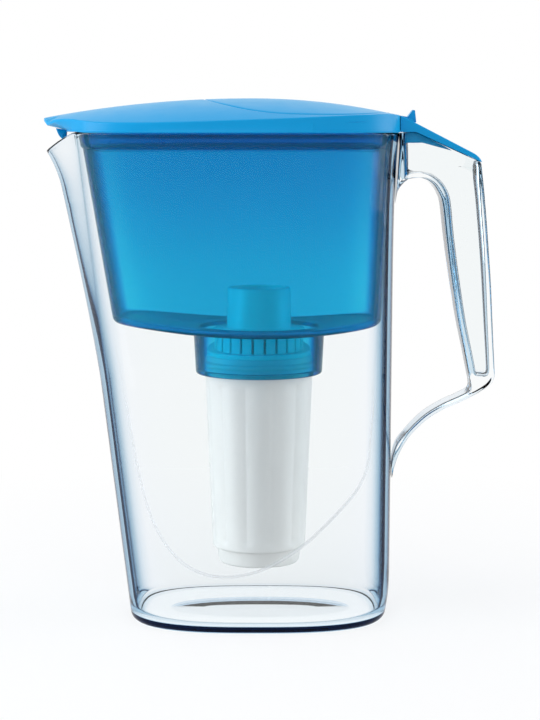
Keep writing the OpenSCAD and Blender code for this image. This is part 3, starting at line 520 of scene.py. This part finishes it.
# ---- Funnel ----
# A hopper moulded in translucent blue SAN. Its flange rests on the jug's rim, a thicker band runs round under
# it, and the floor falls to the socket.
FUNNEL_WALL, FUNNEL_FOOT, FUNNEL_ROUND, SAG = 1.8, 146.0, 3.0, 5.2
FUNNEL_FRONT, FUNNEL_BACK, FUNNEL_HALF = -93.7, 60.5, 46.7
FUNNEL_FRONT_IN, FUNNEL_SIDE_IN = 16.2, 4.5
SEAT_Z, FLANGE_IN = 241.5, 0.9
SOCKET_X, HOLE, SOCKET_TOP = -5.0, 30.45, 141.0
funnel_turns = even_turns(240, RIM_FRONT, RIM_BACK, RIM_HALF, lambda x, y: 1 + 0 * x)


def funnel_ring(z, inset):
    """Ring of the funnel, which narrows in a straight line over 94 mm from the rim."""
    u = ramp(-z, -RIM_Z, -FUNNEL_FOOT)
    x, y = oval(funnel_turns, FUNNEL_FRONT + FUNNEL_FRONT_IN * u + inset,
                FUNNEL_BACK - FUNNEL_SIDE_IN * u - inset, FUNNEL_HALF - FUNNEL_SIDE_IN * u - inset)
    return np.stack([x, y, z + 0 * x], -1)


def hole_ring(radius, z):
    """Round ring on the socket's axis."""
    return np.stack([SOCKET_X + radius * np.cos(funnel_turns), radius * np.sin(funnel_turns),
                     z + 0 * funnel_turns], -1)[None]


def flange_rings(levels, insets):
    """Rings of the flange, whose plan is the rim's."""
    x, y = oval(funnel_turns, RIM_FRONT + FLANGE_IN + insets, RIM_BACK - FLANGE_IN - insets,
                RIM_HALF - FLANGE_IN - insets)
    return np.stack([x, y, levels + 0 * x], -1)


def between(first, last, steps):
    """Rings on straight lines from the first to the last, without either."""
    u = (np.arange(1, steps) / steps)[:, None, None]
    return first + (last - first) * u


def column(*values):
    """The values one below the other, for a ring each."""
    return np.array(values, float)[:, None]


turn_out = np.radians(np.arange(0, 91, 10))[:, None]


def sagged(rings):
    """Rings lowered in their middle, where the foot bows down to the socket: (1 - u^2)^1.5 along X."""
    u = np.clip((rings[..., 0] + 3) / 70, -1, 1)
    return rings - SAG * np.array([0, 0, 1]) * ((1 - u ** 2) ** 1.5)[..., None]


under = sagged(funnel_ring(FUNNEL_FOOT + FUNNEL_ROUND * (1 - np.cos(turn_out)),
                           FUNNEL_ROUND * (1 - np.sin(turn_out))))
inner_foot = FUNNEL_FOOT + FUNNEL_WALL
over = sagged(funnel_ring(inner_foot + FUNNEL_ROUND * (1 - np.cos(turn_out)),
                          FUNNEL_WALL + FUNNEL_ROUND * (1 - np.sin(turn_out))))[::-1]
neck_under = hole_ring(HOLE + 3, SOCKET_TOP)
neck_over = hole_ring(HOLE + 3, SOCKET_TOP + FUNNEL_WALL)
funnel = skin("blue_funnel", np.concatenate([
    hole_ring(HOLE, SOCKET_TOP), neck_under, between(neck_under[0], under[0], 6), under,
    funnel_ring(np.arange(152, 231, 6.0)[:, None], 0),
    funnel_ring(column(231.6, 232, 232.4, 232.8, 236, 239.4, 239.85),
                column(0, -0.1, -0.5, -0.8, -0.8, -0.8, -1.0)),
    flange_rings(column(240.05, 240.05, 240.2, 240.6, 241.0, 241.3, 241.5),
                 column(1.5, 0.15, 0, 0, 0, 0.15, 0.4)),
    funnel_ring(column(241.5, 241.4, 241.0, 240.4, 238), column(1.2, 1.5, 1.75, 1.8, 1.8)),
    funnel_ring(np.arange(232, 155, -6.0)[:, None], FUNNEL_WALL),
    over, between(over[-1], neck_over[0], 6), neck_over,
    hole_ring(HOLE, SOCKET_TOP + FUNNEL_WALL)]), loop=True)


def plastic(name, stops, blur, passing, ior, ripple_size, ripple, spread, colour_size, lets_lamps):
    """Moulded coloured plastic. The ramp gives its colour by the slant; where it pales at a slant it is a
    painted sheen, and where it deepens, painted edge shade, in thin plastic partly also the longer path
    through it. A slow noise clouds the colour, and a fine one the gloss; the bump is the mould's own faint
    waviness."""
    made, tree = blank_material(name)
    place = add(tree, "TexCoord")
    clouds = add(tree, "TexNoise", [("Vector", place.outputs["Object"])],
                 Scale=1 / (colour_size * MM), Detail=2.0)
    waves = add(tree, "TexNoise", [("Vector", place.outputs["Object"])],
                Scale=1 / (ripple_size * MM), Detail=2.0)
    bump = add(tree, "Bump", [("Height", waves.outputs[0])], Strength=ripple, Distance=MM)
    slant = add(tree, "LayerWeight", Blend=0.5)
    tint = add(tree, "ValToRGB", [("Fac", slant.outputs["Facing"])], stops)
    clouded = add(tree, "HueSaturation", [("Color", tint.outputs[0])])
    depth = add(tree, "MapRange", [("Value", clouds.outputs[0])], To_Min=1 - spread, To_Max=1 + spread)
    tree.links.new(depth.outputs[0], clouded.inputs["Value"])
    shine = add(tree, "MapRange", [("Value", waves.outputs[0])], To_Min=blur * 0.8, To_Max=blur * 1.2)
    body = add(tree, "BsdfPrincipled", [("Base Color", clouded.outputs[0]), ("Roughness", shine.outputs[0]),
                                        ("Normal", bump.outputs[0])], IOR=ior, Transmission_Weight=passing)
    surface = body.outputs[0]
    if lets_lamps:
        lamp_path = add(tree, "LightPath")
        passed = add(tree, "BsdfTransparent", Color=srgb(lets_lamps))
        surface = add(tree, "MixShader", [(0, lamp_path.outputs["Is Shadow Ray"]), (1, surface),
                                          (2, passed.outputs[0])]).outputs[0]
    add(tree, "OutputMaterial", [("Surface", surface)])
    return made


# Tinted SAN: bright cyan, with a milkiness that glows where the lamps reach it. The ramp's paler band at a
# middling slant is a painted highlight of lit sides, its navy at a steep slant painted edge shade, and the
# crown colour painted shade under the lid
tinted = glassy("moulded translucent blue SAN", [(0.0, "#96EBFB"), (0.12, "#9AECFB"), (0.3, "#B0F2FB"),
                                                 (0.45, "#9CE8FA"), (0.58, "#60ACDC"), (0.74, "#2C64A8"),
                                                 (1.0, "#08204C")],
                0.1, 1.2, "#2894CC", "#2078BC", "#E6EFFA", "#48E4F4", 0.14, "#C8F0FA", 30, 0.05)
funnel.data.materials.append(tinted)
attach(funnel, "funnel")
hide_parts("funnel")

# ---- Socket ----
# The round collar that is moulded under the funnel's floor. The cartridge hangs in it on its flange.
SOCKET_FOOT, SOCKET_R, SOCKET_LOW_R, SOCKET_WALL, LIP_R = 120.0, 32.65, 31.55, 2.2, 27.2


def lathe(axis_x, profile, count, ripple=None):
    """Rings of a profile of (radius, height) points turned round an upright axis at axis_x."""
    turn = 2 * math.pi * np.arange(count) / count
    radius, height = np.array(profile, float).T[..., None]
    if ripple is not None:
        radius = radius + ripple(turn, height)
    return np.stack([axis_x + radius * np.cos(turn), radius * np.sin(turn), height + 0 * turn], -1)


def rounded(points, radii, steps=5):
    """A closed profile whose corners are rounded: each corner is a parabola between the points a radius
    before and after it."""
    p = np.array(points, float)
    before, after = np.roll(p, 1, axis=0) - p, np.roll(p, -1, axis=0) - p
    r = np.array(radii, float)[:, None]
    start = p + before * np.minimum(0.45, r / np.linalg.norm(before, axis=1, keepdims=True))
    end = p + after * np.minimum(0.45, r / np.linalg.norm(after, axis=1, keepdims=True))
    t = np.linspace(0, 1, steps)[None, :, None]
    curve = start[:, None] * (1 - t) ** 2 + 2 * p[:, None] * t * (1 - t) + end[:, None] * t ** 2
    return curve.reshape(-1, 2)


collar = rounded([(LIP_R, SOCKET_FOOT), (SOCKET_LOW_R, SOCKET_FOOT), (SOCKET_R, SOCKET_TOP - 0.05),
                  (HOLE, SOCKET_TOP - 0.05), (SOCKET_LOW_R - SOCKET_WALL, SOCKET_FOOT + 2.4),
                  (LIP_R, SOCKET_FOOT + 2.4)], [0.4, 1.5, 0.1, 0.1, 0.6, 0.4])
socket = skin("blue_socket", lathe(SOCKET_X, collar, 180), loop=True)
socket.data.materials.append(tinted)
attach(socket, "funnel")
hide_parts("funnel_socket")

# ---- Cartridge body ----
# A fluted cup, injection moulded in white polypropylene, closed below by a pressed-in cap with drain slots.
# Its flange lies on the seal in the socket.
CUP_FOOT, CUP_FOOT_R, CUP_R, CUP_WALL, FLUTES, FLUTE = 33.5, 23.0, 26.75, 2.3, 12, 0.7
FLANGE_Z, FLANGE_R, NECK_R, NECK_TOP = 124.2, 28.75, 26.25, 129.0


def flute(turn, height):
    """The flutes: hollows of |cos| section that die away at both ends."""
    fade = (smooth(height, CUP_FOOT + 1.5, CUP_FOOT + 6)
            * (1 - smooth(height, SOCKET_FOOT - 6, SOCKET_FOOT - 1.5)))
    return -FLUTE * fade * (1 - np.abs(np.cos(FLUTES * turn / 2)))


cup_levels = np.concatenate([np.arange(CUP_FOOT + 1, CUP_FOOT + 8, 0.75), np.linspace(44, 112, 12),
                             np.arange(113, SOCKET_FOOT, 0.75)])
cup_side = [(CUP_FOOT_R + (CUP_R - CUP_FOOT_R) * (z - CUP_FOOT) / 86.5, z) for z in cup_levels]
cup_outer = [(21.9, CUP_FOOT), (22.5, CUP_FOOT + 0.15), (22.9, CUP_FOOT + 0.5)] + cup_side
cup_neck = [(CUP_R, SOCKET_FOOT), (CUP_R, FLANGE_Z - 0.2), (CUP_R + 0.2, FLANGE_Z),
            (FLANGE_R - 0.3, FLANGE_Z), (FLANGE_R, FLANGE_Z + 0.3), (FLANGE_R, FLANGE_Z + 1.8),
            (FLANGE_R - 0.4, FLANGE_Z + 2.2),
            (NECK_R + 0.2, FLANGE_Z + 2.2), (NECK_R, FLANGE_Z + 2.4), (NECK_R, NECK_TOP - 0.3),
            (NECK_R - 0.3, NECK_TOP), (CUP_R - CUP_WALL + 0.2, NECK_TOP), (CUP_R - CUP_WALL, NECK_TOP - 0.2)]
cup_inner = [(CUP_R - CUP_WALL, SOCKET_FOOT), (CUP_FOOT_R - CUP_WALL, CUP_FOOT)]
cup = skin("cartridge_cup", np.concatenate([lathe(SOCKET_X, cup_outer, 288, flute),
                                            lathe(SOCKET_X, cup_neck + cup_inner, 288)]), loop=True)
# Natural polypropylene: waxy white, a little light goes through. Its greyer colour at a slant is painted edge
# shade
white_pp = plastic("moulded white polypropylene", [(0.0, "#DADBDA"), (0.7, "#D2D4D3"), (1.0, "#BCC0C0")],
                   0.32, 0.0, 1.49, 6, 0.12, 0.02, 12, None)
cup.data.materials.append(white_pp)
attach(cup, "cartridge")
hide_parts("cartridge_body")

# ---- Cartridge cap ----
# Turquoise polypropylene, snapped on the cup's neck: a skirt with inlet slots, a disc and a hollow knob.
SLOTS, SLOT_WIDTH, SKIRT_R, SKIRT_WALL = 24, 1.2, 22.4, 1.8
SKIRT_FOOT, DISC_Z, DISC_TOP, DISC_R = 131.2, 140.0, 142.4, 23.0
KNOB_R, KNOB_TOP, KNOB_WALL = 16.0, 162.9, 2.0
seat = rounded([(SKIRT_R - SKIRT_WALL, NECK_TOP), (NECK_R, NECK_TOP), (NECK_R, SKIRT_FOOT),
                (SKIRT_R - SKIRT_WALL, SKIRT_FOOT)], [0.1, 0.4, 0.6, 0.1])
crown = [(0.2, DISC_Z), (DISC_R - 0.5, DISC_Z), (DISC_R - 0.1, DISC_Z + 0.2), (DISC_R, DISC_Z + 0.6),
         (DISC_R, DISC_TOP - 0.7), (DISC_R - 0.2, DISC_TOP - 0.2), (DISC_R - 0.7, DISC_TOP),
         (KNOB_R + 1.2, DISC_TOP), (KNOB_R + 0.4, DISC_TOP + 0.4), (KNOB_R, DISC_TOP + 1.2),
         (KNOB_R - 0.3, KNOB_TOP - 0.9), (KNOB_R - 0.55, KNOB_TOP - 0.25), (KNOB_R - 1.1, KNOB_TOP),
         (KNOB_R - KNOB_WALL + 0.3, KNOB_TOP), (KNOB_R - KNOB_WALL, KNOB_TOP - 0.4),
         (KNOB_R - KNOB_WALL, DISC_TOP + 1), (KNOB_R - KNOB_WALL - 1, DISC_TOP + 0.3), (0.2, DISC_TOP + 0.2)]
bar_edge = math.asin(SLOT_WIDTH / 2 / SKIRT_R)
bars = []
for k in range(SLOTS):
    near, apart = 2 * math.pi * (k - 0.5) / SLOTS + bar_edge, 2 * math.pi / SLOTS - 2 * bar_edge
    arc = near + apart * np.linspace(0, 1, 7)
    outer_x, outer_y = SKIRT_R * np.cos(arc), SKIRT_R * np.sin(arc)
    share_in = (SKIRT_R - SKIRT_WALL) / SKIRT_R
    loop_x = np.concatenate([outer_x, share_in * outer_x[::-1]])
    loop_y = np.concatenate([outer_y, share_in * outer_y[::-1]])
    bars.append(np.stack([np.stack([SOCKET_X + loop_x, loop_y, 0 * loop_x + z], -1)
                          for z in (SKIRT_FOOT - 0.2, DISC_Z + 0.3)]))
cap_top = skin("cap_disc_and_knob", lathe(SOCKET_X, crown, 144))
cap_seat = skin("cap_seat_ring", lathe(SOCKET_X, seat, 144), loop=True)
cap_bars = skin("cap_slotted_skirt", bars)
# Its deeper turquoise at a slant is painted edge shade
turquoise = plastic("moulded turquoise polypropylene",
                    [(0.0, "#40F2EE"), (0.75, "#30E2E4"), (1.0, "#1CB8C4")],
                    0.25, 0.0, 1.49, 6, 0.08, 0.02, 12, None)
for piece in (cap_top, cap_seat, cap_bars):
    piece.data.materials.append(turquoise)
    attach(piece, "cartridge")
    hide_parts("cartridge_cap")

# ---- Lid frame ----
# The lid's outer part, injection moulded in opaque blue acrylonitrile butadiene styrene: a dome with a rim
# band, a beak over the spout and an opening for the flap, which rests on a ledge.
LID_Z, LID_OVER, CROWN_X, CROWN_Z = 240.12, 0.8, -9.5, 256.74
LID_FRONT, LID_BACK, LID_HALF = RIM_FRONT - LID_OVER, RIM_BACK + LID_OVER, RIM_HALF + LID_OVER
BEAK_REACH, BEAK_HALF, SKIN_T = 12.2, 31.0, 2.0
FLAP_X, FLAP_LONG, FLAP_HALF, SEAM, LEDGE = 13.25, 45.25, 46.0, 0.6, 3.5
TONGUE_HALF, TONGUE_T, FLAP_T, SIDE_GAP = 7.0, 1.8, 2.0, 0.3


def lid_top(x, y):
    """Height of the dome: along X a crown that falls as a parabola to the beak and as a power 2.1 to the
    handle; across Y it falls to the side's line as a power 2.2 of the share of the half width."""
    front = CROWN_Z - 9.75 * (np.maximum(0, CROWN_X - x) / 102.7) ** 2
    crown_line = front - 8.5 * (np.maximum(0, x - CROWN_X) / 74) ** 2.1
    side = np.minimum(crown_line, RIM_Z + 2.6 + 5.6 * (x - RIM_FRONT) / 163.7)
    middle, long = (LID_FRONT + LID_BACK) / 2, (LID_BACK - LID_FRONT) / 2
    share = np.maximum(0.02, 1 - np.abs((x - middle) / (long + np.where(x < middle, 9, 7))) ** PLAN_POWER)
    half = LID_HALF * share ** (1 / PLAN_POWER)
    return crown_line + (side - crown_line) * np.clip(np.abs(y) / half, 0, 1) ** 2.2


NOTCH = math.atan((TONGUE_HALF + SIDE_GAP) / (FLAP_LONG + SEAM))
lid_turns = np.sort(np.mod(np.concatenate([np.linspace(-math.pi, math.pi, 281)[1:],
                                           [-NOTCH, NOTCH, -NOTCH * 1.02, NOTCH * 1.02]]), 2 * math.pi))
in_notch = np.minimum(lid_turns, 2 * math.pi - lid_turns) < NOTCH * 1.01


def plan_edge(inset):
    """X and Y where rays from the flap's middle meet the rim's plan drawn in by the inset, by halving."""
    low, high = np.full(lid_turns.shape, 20.0), np.full(lid_turns.shape, 160.0)
    middle = (RIM_FRONT + RIM_BACK) / 2
    for _ in range(30):
        reach = (low + high) / 2
        x, y = FLAP_X + reach * np.cos(lid_turns), reach * np.sin(lid_turns)
        along = np.abs(x - middle) / ((RIM_BACK - RIM_FRONT) / 2 - inset)
        within = along ** PLAN_POWER + (np.abs(y) / (RIM_HALF - inset)) ** PLAN_POWER < 1
        low, high = np.where(within, reach, low), np.where(within, high, reach)
    return np.stack([x, y], -1)


def flap_edge(grow):
    """X and Y of the flap's edge grown by a margin: an oval of power 2 at its nose and 2.8 at its rear."""
    power = np.where(np.cos(lid_turns) < 0, 2.0, PLAN_POWER)
    reach = (np.abs(np.cos(lid_turns) / (FLAP_LONG + grow)) ** power
             + np.abs(np.sin(lid_turns) / (FLAP_HALF + grow)) ** power) ** (-1 / power)
    return np.stack([FLAP_X + reach * np.cos(lid_turns), reach * np.sin(lid_turns)], -1)


def beaked(flat):
    """The outline pushed out over the spout by the beak: a bump (1 - (y / half)^2)^2."""
    share = np.clip(1 - (flat[..., 1] / BEAK_HALF) ** 2, 0, 1) ** 2 * (flat[..., 0] < RIM_FRONT + 60)
    return np.stack([flat[..., 0] - BEAK_REACH * share, flat[..., 1]], -1)


def at(flat, height):
    """A flat line as one ring at a height."""
    return np.concatenate([flat, np.broadcast_to(height, flat.shape[:-1])[..., None]], -1)[None]


def top_ring(flat, drop):
    """Ring under the dome by a drop, lower where the flap's tongue crosses the rear."""
    height = lid_top(flat[:, 0], flat[:, 1]) - np.where(in_notch, TONGUE_T + 0.2, 0) - drop
    return at(flat, np.maximum(SEAT_Z + 0.4, height))


def under_ring(flat, drop):
    """Ring under the dome by a drop, but never below the seat."""
    return at(flat, np.maximum(SEAT_Z, lid_top(flat[:, 0], flat[:, 1]) - drop))


BEAD = 0.35
bead_line, outline, shoulder = (plan_edge(-LID_OVER), plan_edge(BEAD - LID_OVER),
                                beaked(plan_edge(BEAD + 0.7 - LID_OVER)))
hole, hole_out, hole_in = flap_edge(SEAM), flap_edge(SEAM + SKIN_T), flap_edge(-LEDGE)
inner_seat, inner_skirt = plan_edge(3.6), plan_edge(FLANGE_IN - SIDE_GAP)
skin_drop = max(SKIN_T, TONGUE_T + 1.4)
rest = FLAP_T + SIDE_GAP
# The band's lip hangs over the jug's rim, and gives way to the spout and to the handle
LIP_HANG = 0.45
off_spout = np.where(outline[:, 0] < RIM_FRONT + 40, smooth(np.abs(outline[:, 1]), 30, 37), 1)
hang = LID_Z - LIP_HANG * off_spout * np.where(outline[:, 0] > 40, smooth(np.abs(outline[:, 1]), 14, 19), 1)
frame_rings = [at(bead_line, hang + 0.25), at(bead_line, hang + 0.55), at(outline, hang + 0.85),
               top_ring(beaked(outline), 1.3), top_ring(beaked(outline), 0.6)]
frame_rings += [top_ring(beaked(plan_edge(BEAD + inset - LID_OVER)), drop)
                for inset, drop in ((0.06, 0.28), (0.2, 0.08), (0.42, 0.01), (0.7, 0))]
frame_rings += [top_ring(shoulder + (flap_edge(SEAM + 0.5) - shoulder) * u, 0)
                for u in np.linspace(0.06, 1, 18)]
frame_rings += [top_ring(flap_edge(SEAM + 0.15), 0.12), top_ring(hole, 0.5), under_ring(hole, rest),
                under_ring(hole_in, rest), under_ring(hole_in, rest + SKIN_T),
                under_ring(hole, rest + SKIN_T), under_ring(hole_out, skin_drop)]
frame_rings += [under_ring(hole_out + (inner_seat - hole_out) * u, skin_drop) for u in (0.2, 0.4, 0.6, 0.8)]
frame_rings += [at(inner_seat, SEAT_Z), at(inner_skirt, SEAT_Z), at(inner_skirt, LID_Z),
                at(plan_edge(-0.12), LID_Z), at(plan_edge(-0.15), hang), at(plan_edge(0.25 - LID_OVER), hang)]
lid = skin("lid_shell", np.concatenate(frame_rings), loop=True)
# Opaque ABS: even sky blue with a semi-gloss shine. The shade paler where it is seen at a slant is a painted
# sheen, the bright surroundings' reflection painted in
blue_abs = plastic("moulded opaque blue ABS", [(0.0, "#0098D4"), (0.6, "#009CD8"), (1.0, "#14A6DC")],
                   0.32, 0.0, 1.28, 9, 0.06, 0.015, 60, None)
lid.data.materials.append(blue_abs)
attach(lid, "lid")
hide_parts("lid_frame", "lid_rib")

# ---- Lid skirt ----
# A thin ring under the lid, moulded in one with it, that reaches into the funnel's mouth and centres the lid.
SKIRT_GAP, SKIRT_T, SKIRT_LOW = 0.6, 1.2, 234.6
ring_levels = np.arange(SKIRT_LOW + 0.6, 240, 1.5)[:, None]
outer_in, inner_in = FUNNEL_WALL + SKIRT_GAP, FUNNEL_WALL + SKIRT_GAP + SKIRT_T
crest = [funnel_ring(column(RIM_Z), inset) for inset in (outer_in, inner_in)]
for ring in crest:
    ring[..., 2] = np.maximum(SEAT_Z + 0.3, lid_top(ring[..., 0], ring[..., 1]) - 3.0)
lid_skirt = skin("lid_inner_skirt", np.concatenate([
    funnel_ring(column(SKIRT_LOW + 0.2, SKIRT_LOW), column(inner_in, inner_in - 0.2)),
    funnel_ring(column(SKIRT_LOW, SKIRT_LOW + 0.2), column(outer_in + 0.2, outer_in)),
    funnel_ring(ring_levels, outer_in), crest[0], crest[1],
    funnel_ring(ring_levels[::-1], inner_in)]), loop=True)
# At 1.2 mm the same plastic lets some light through, and shows a deeper blue. It deepens further at a slant,
# partly from the longer path through it and partly as painted edge shade
thin_abs = plastic("thin moulded blue ABS", [(0.0, "#98C8FA"), (0.7, "#80B4F4"), (1.0, "#4C80D0")],
                   0.3, 0.88, 1.2, 9, 0.05, 0.015, 60, "#7CB8F0")
lid_skirt.data.materials.append(thin_abs)
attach(lid_skirt, "lid")

# ---- Locating rib ----
# The small fin that hangs from the lid's edge into the spout's mouth, moulded in one with the lid.
RIB_HALF = 1.2
rib_line = rounded([(-100.4, 241.2), (-106.0, 241.9), (-104.6, 238.4), (-101.6, 235.2), (-100.9, 235.4)],
                   [0.2, 0.3, 0.9, 0.4, 0.4])
rib_rings = [np.stack([rib_line[:, 0] * (1 - s) + s * rib_line[:, 0].mean(), 0 * rib_line[:, 0] + y,
                       rib_line[:, 1] * (1 - s) + s * rib_line[:, 1].mean()], -1)
             for y, s in ((-RIB_HALF, 0.12), (-RIB_HALF + 0.3, 0), (RIB_HALF - 0.3, 0), (RIB_HALF, 0.12))]
rib = skin("lid_rib_fin", np.stack(rib_rings))
rib.data.materials.append(blue_abs)
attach(rib, "lid")

# ---- Lid tail ----
# The channel over the handle's open top, in one with the lid. The flap's pivot rod turns in its walls.
TAIL_HALF, TAIL_END = 13.5, 104.8


def tail_top(x):
    """Height of the tail's top: it runs on from the dome, then falls with the lower edge."""
    dome_line = lid_top(LID_BACK, 0.0) - 0.52 * (x - LID_BACK)
    return np.minimum(dome_line, tail_low(x) + 4.6 + 3.4 * ramp(-x, -87.3, -65.3))


tail_rings = []
for x in np.linspace(LID_BACK - 0.7, TAIL_END, 61):
    half = TAIL_HALF - 3.6 * (1 - math.sqrt(max(0, 1 - ramp(x, TAIL_END - 4, TAIL_END + 0.4) ** 2)))
    low = float(tail_low(x))
    high = float(tail_top(x)) - 2.6 * (
        1 - math.sqrt(max(0, 1 - ramp(x, TAIL_END - 4.5, TAIL_END + 0.1) ** 2)))
    section = rounded([(-half, low), (half, low), (half, high), (-half, high)], [0.25, 0.25, 0.9, 0.9])
    tail_rings.append(np.stack([x + 0 * section[:, 0], section[:, 0], section[:, 1]], -1))
tail = skin("lid_tail_cover", np.stack(tail_rings))
tail.data.materials.append(blue_abs)
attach(tail, "lid")
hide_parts("lid_tail")
# Under the tail a plug reaches into the handle's mouth. It keeps the lid from sliding
PLUG_HALF, PLUG_START, PLUG_END = 9.3, 67.3, 98.0
plug_rings = []
for x in np.linspace(PLUG_START, PLUG_END, 24):
    foot = 234.5 - 0.289 * max(0.0, x - 75.5)
    section = rounded([(-PLUG_HALF, foot), (PLUG_HALF, foot), (PLUG_HALF, float(tail_low(x)) + 0.3),
                       (-PLUG_HALF, float(tail_low(x)) + 0.3)], [0.6, 0.6, 0.1, 0.1])
    plug_rings.append(np.stack([x + 0 * section[:, 0], section[:, 0], section[:, 1]], -1))
plug = skin("lid_tail_plug", np.stack(plug_rings))
plug.data.materials.append(blue_abs)
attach(plug, "lid")

# ---- Flap ----
# The lifting panel, moulded in the same blue ABS, with a tongue to its pivot rod and a thumb tab behind it.
flap_middle = FLAP_X * np.array([1, 0])
panel = []
for s in (0.05, 0.3, 0.5, 0.7, 0.85, 0.95):
    flat = flap_middle + s * (flap_edge(0) - flap_middle)
    panel.append(at(flat, lid_top(flat[:, 0], flat[:, 1]) - FLAP_T))
for grow, drop in [(-1.0, FLAP_T), (-0.3, FLAP_T - 0.1), (0.0, FLAP_T - 0.5), (0.0, 0.7), (-0.12, 0.35),
                   (-0.4, 0.1), (-0.9, 0.0)]:
    flat = flap_edge(grow)
    panel.append(at(flat, lid_top(flat[:, 0], flat[:, 1]) - drop))
for s in (0.95, 0.9, 0.8, 0.7, 0.6, 0.5, 0.4, 0.3, 0.2, 0.1, 0.03):
    flat = flap_middle + s * (flap_edge(0) - flap_middle)
    panel.append(at(flat, lid_top(flat[:, 0], flat[:, 1])))
flap = skin("flap_cover", np.concatenate(panel))
flap.data.materials.append(blue_abs)
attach(flap, "flap")
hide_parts("flap_panel")

# ---- What the cartridge holds ----
# A silicone seal under the cup's flange, a woven nylon screen and a felt pad at each end, and the mixed
# bed of carbon and resin between. These, the drain cap and the flap's lever keep their modelled shapes.


def packed(name, kind, stops, rough, fuzz, depth):
    """A body made up of many small ones, from a pattern that gives each point a height and a number for the
    ramp. kind(tree, place) adds the pattern and returns the sockets of both."""
    made, tree = blank_material(name)
    place = add(tree, "TexCoord")
    height, number = kind(tree, place.outputs["Object"])
    tint = add(tree, "ValToRGB", [("Fac", number)], stops)
    bump = add(tree, "Bump", [("Height", height)], Strength=0.8, Distance=depth * MM)
    body = add(tree, "BsdfPrincipled", [("Base Color", tint.outputs[0]), ("Normal", bump.outputs[0])],
               Roughness=rough, Sheen_Weight=fuzz)
    add(tree, "OutputMaterial", [("Surface", body.outputs[0])])
    return made


def weave(tree, place):
    """Threads 0.5 mm apart along X and along Y: the higher of |sin(pi x / 0.5)| and |sin(pi y / 0.5)|."""
    split = add(tree, "SeparateXYZ", [(0, place)])
    ridges = []
    for axis in ("X", "Y"):
        turns = add(tree, "Math", [(0, split.outputs[axis])], operation="MULTIPLY")
        turns.inputs[1].default_value = math.pi / (0.5 * MM)
        wave = add(tree, "Math", [(0, turns.outputs[0])], operation="SINE")
        ridges.append(add(tree, "Math", [(0, wave.outputs[0])], operation="ABSOLUTE").outputs[0])
    top = add(tree, "Math", [(0, ridges[0]), (1, ridges[1])], operation="MAXIMUM")
    return top.outputs[0], top.outputs[0]


def fibres(tree, place):
    """Matted fibres: a warped noise of 0.4 mm under a slow one of 3 mm that thins and thickens the mat."""
    fine = add(tree, "TexNoise", [("Vector", place)], Scale=1 / (0.4 * MM), Detail=3.0, Distortion=2.0)
    slow = add(tree, "TexNoise", [("Vector", place)], Scale=1 / (3 * MM), Detail=1.0)
    mixed = add(tree, "Math", [(0, fine.outputs[0]), (1, slow.outputs[0])], operation="MULTIPLY")
    return fine.outputs[0], mixed.outputs[0]


def grains(tree, place):
    """Grains of about 0.9 mm: cells with a rounded height, and a random number each."""
    cells = add(tree, "TexVoronoi", [("Vector", place)], Scale=1 / (0.9 * MM))
    round_top = add(tree, "Math", [(1, cells.outputs["Distance"])], operation="SUBTRACT")
    round_top.inputs[0].default_value = 1.0
    number = add(tree, "SeparateColor", [(0, cells.outputs["Color"])])
    return round_top.outputs[0], number.outputs[0]


# Silicone: milky, with a painted sheen that pales it at a slant. Nylon: white threads over shaded holes.
# Felt: off-white and fuzzy. Granules:
# mostly charcoal black, with amber resin beads between
silicone = plastic("soft pale silicone", [(0.0, "#C4D0D6"), (0.7, "#CCD6DA"), (1.0, "#DCE4E8")],
                   0.5, 0.0, 1.41, 4, 0.1, 0.02, 8, None)
nylon = packed("woven nylon screen", weave, [(0.55, "#8C9092"), (0.85, "#ECECEA")], 0.45, 0.0, 0.15)
felt = packed("needled fibre felt", fibres, [(0.1, "#C8C8C0"), (0.45, "#E8E8E2")], 0.95, 0.4, 0.2)
granules = packed("carbon and resin granules", grains,
                  [(0.0, "#161514"), (0.66, "#34312E"), (0.70, "#B08C50"), (1.0, "#D8C08C")],
                  0.6, 0.0, 0.4)
for node, made in (("flap_lever", blue_abs), ("cartridge_base", white_pp), ("cartridge_seal", silicone),
                   ("inlet_screen", nylon), ("outlet_screen", nylon), ("inlet_pad", felt),
                   ("outlet_pad", felt), ("filter_media", granules)):
    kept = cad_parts[node]
    for slot in range(len(kept.data.materials)):
        kept.data.materials[slot] = made
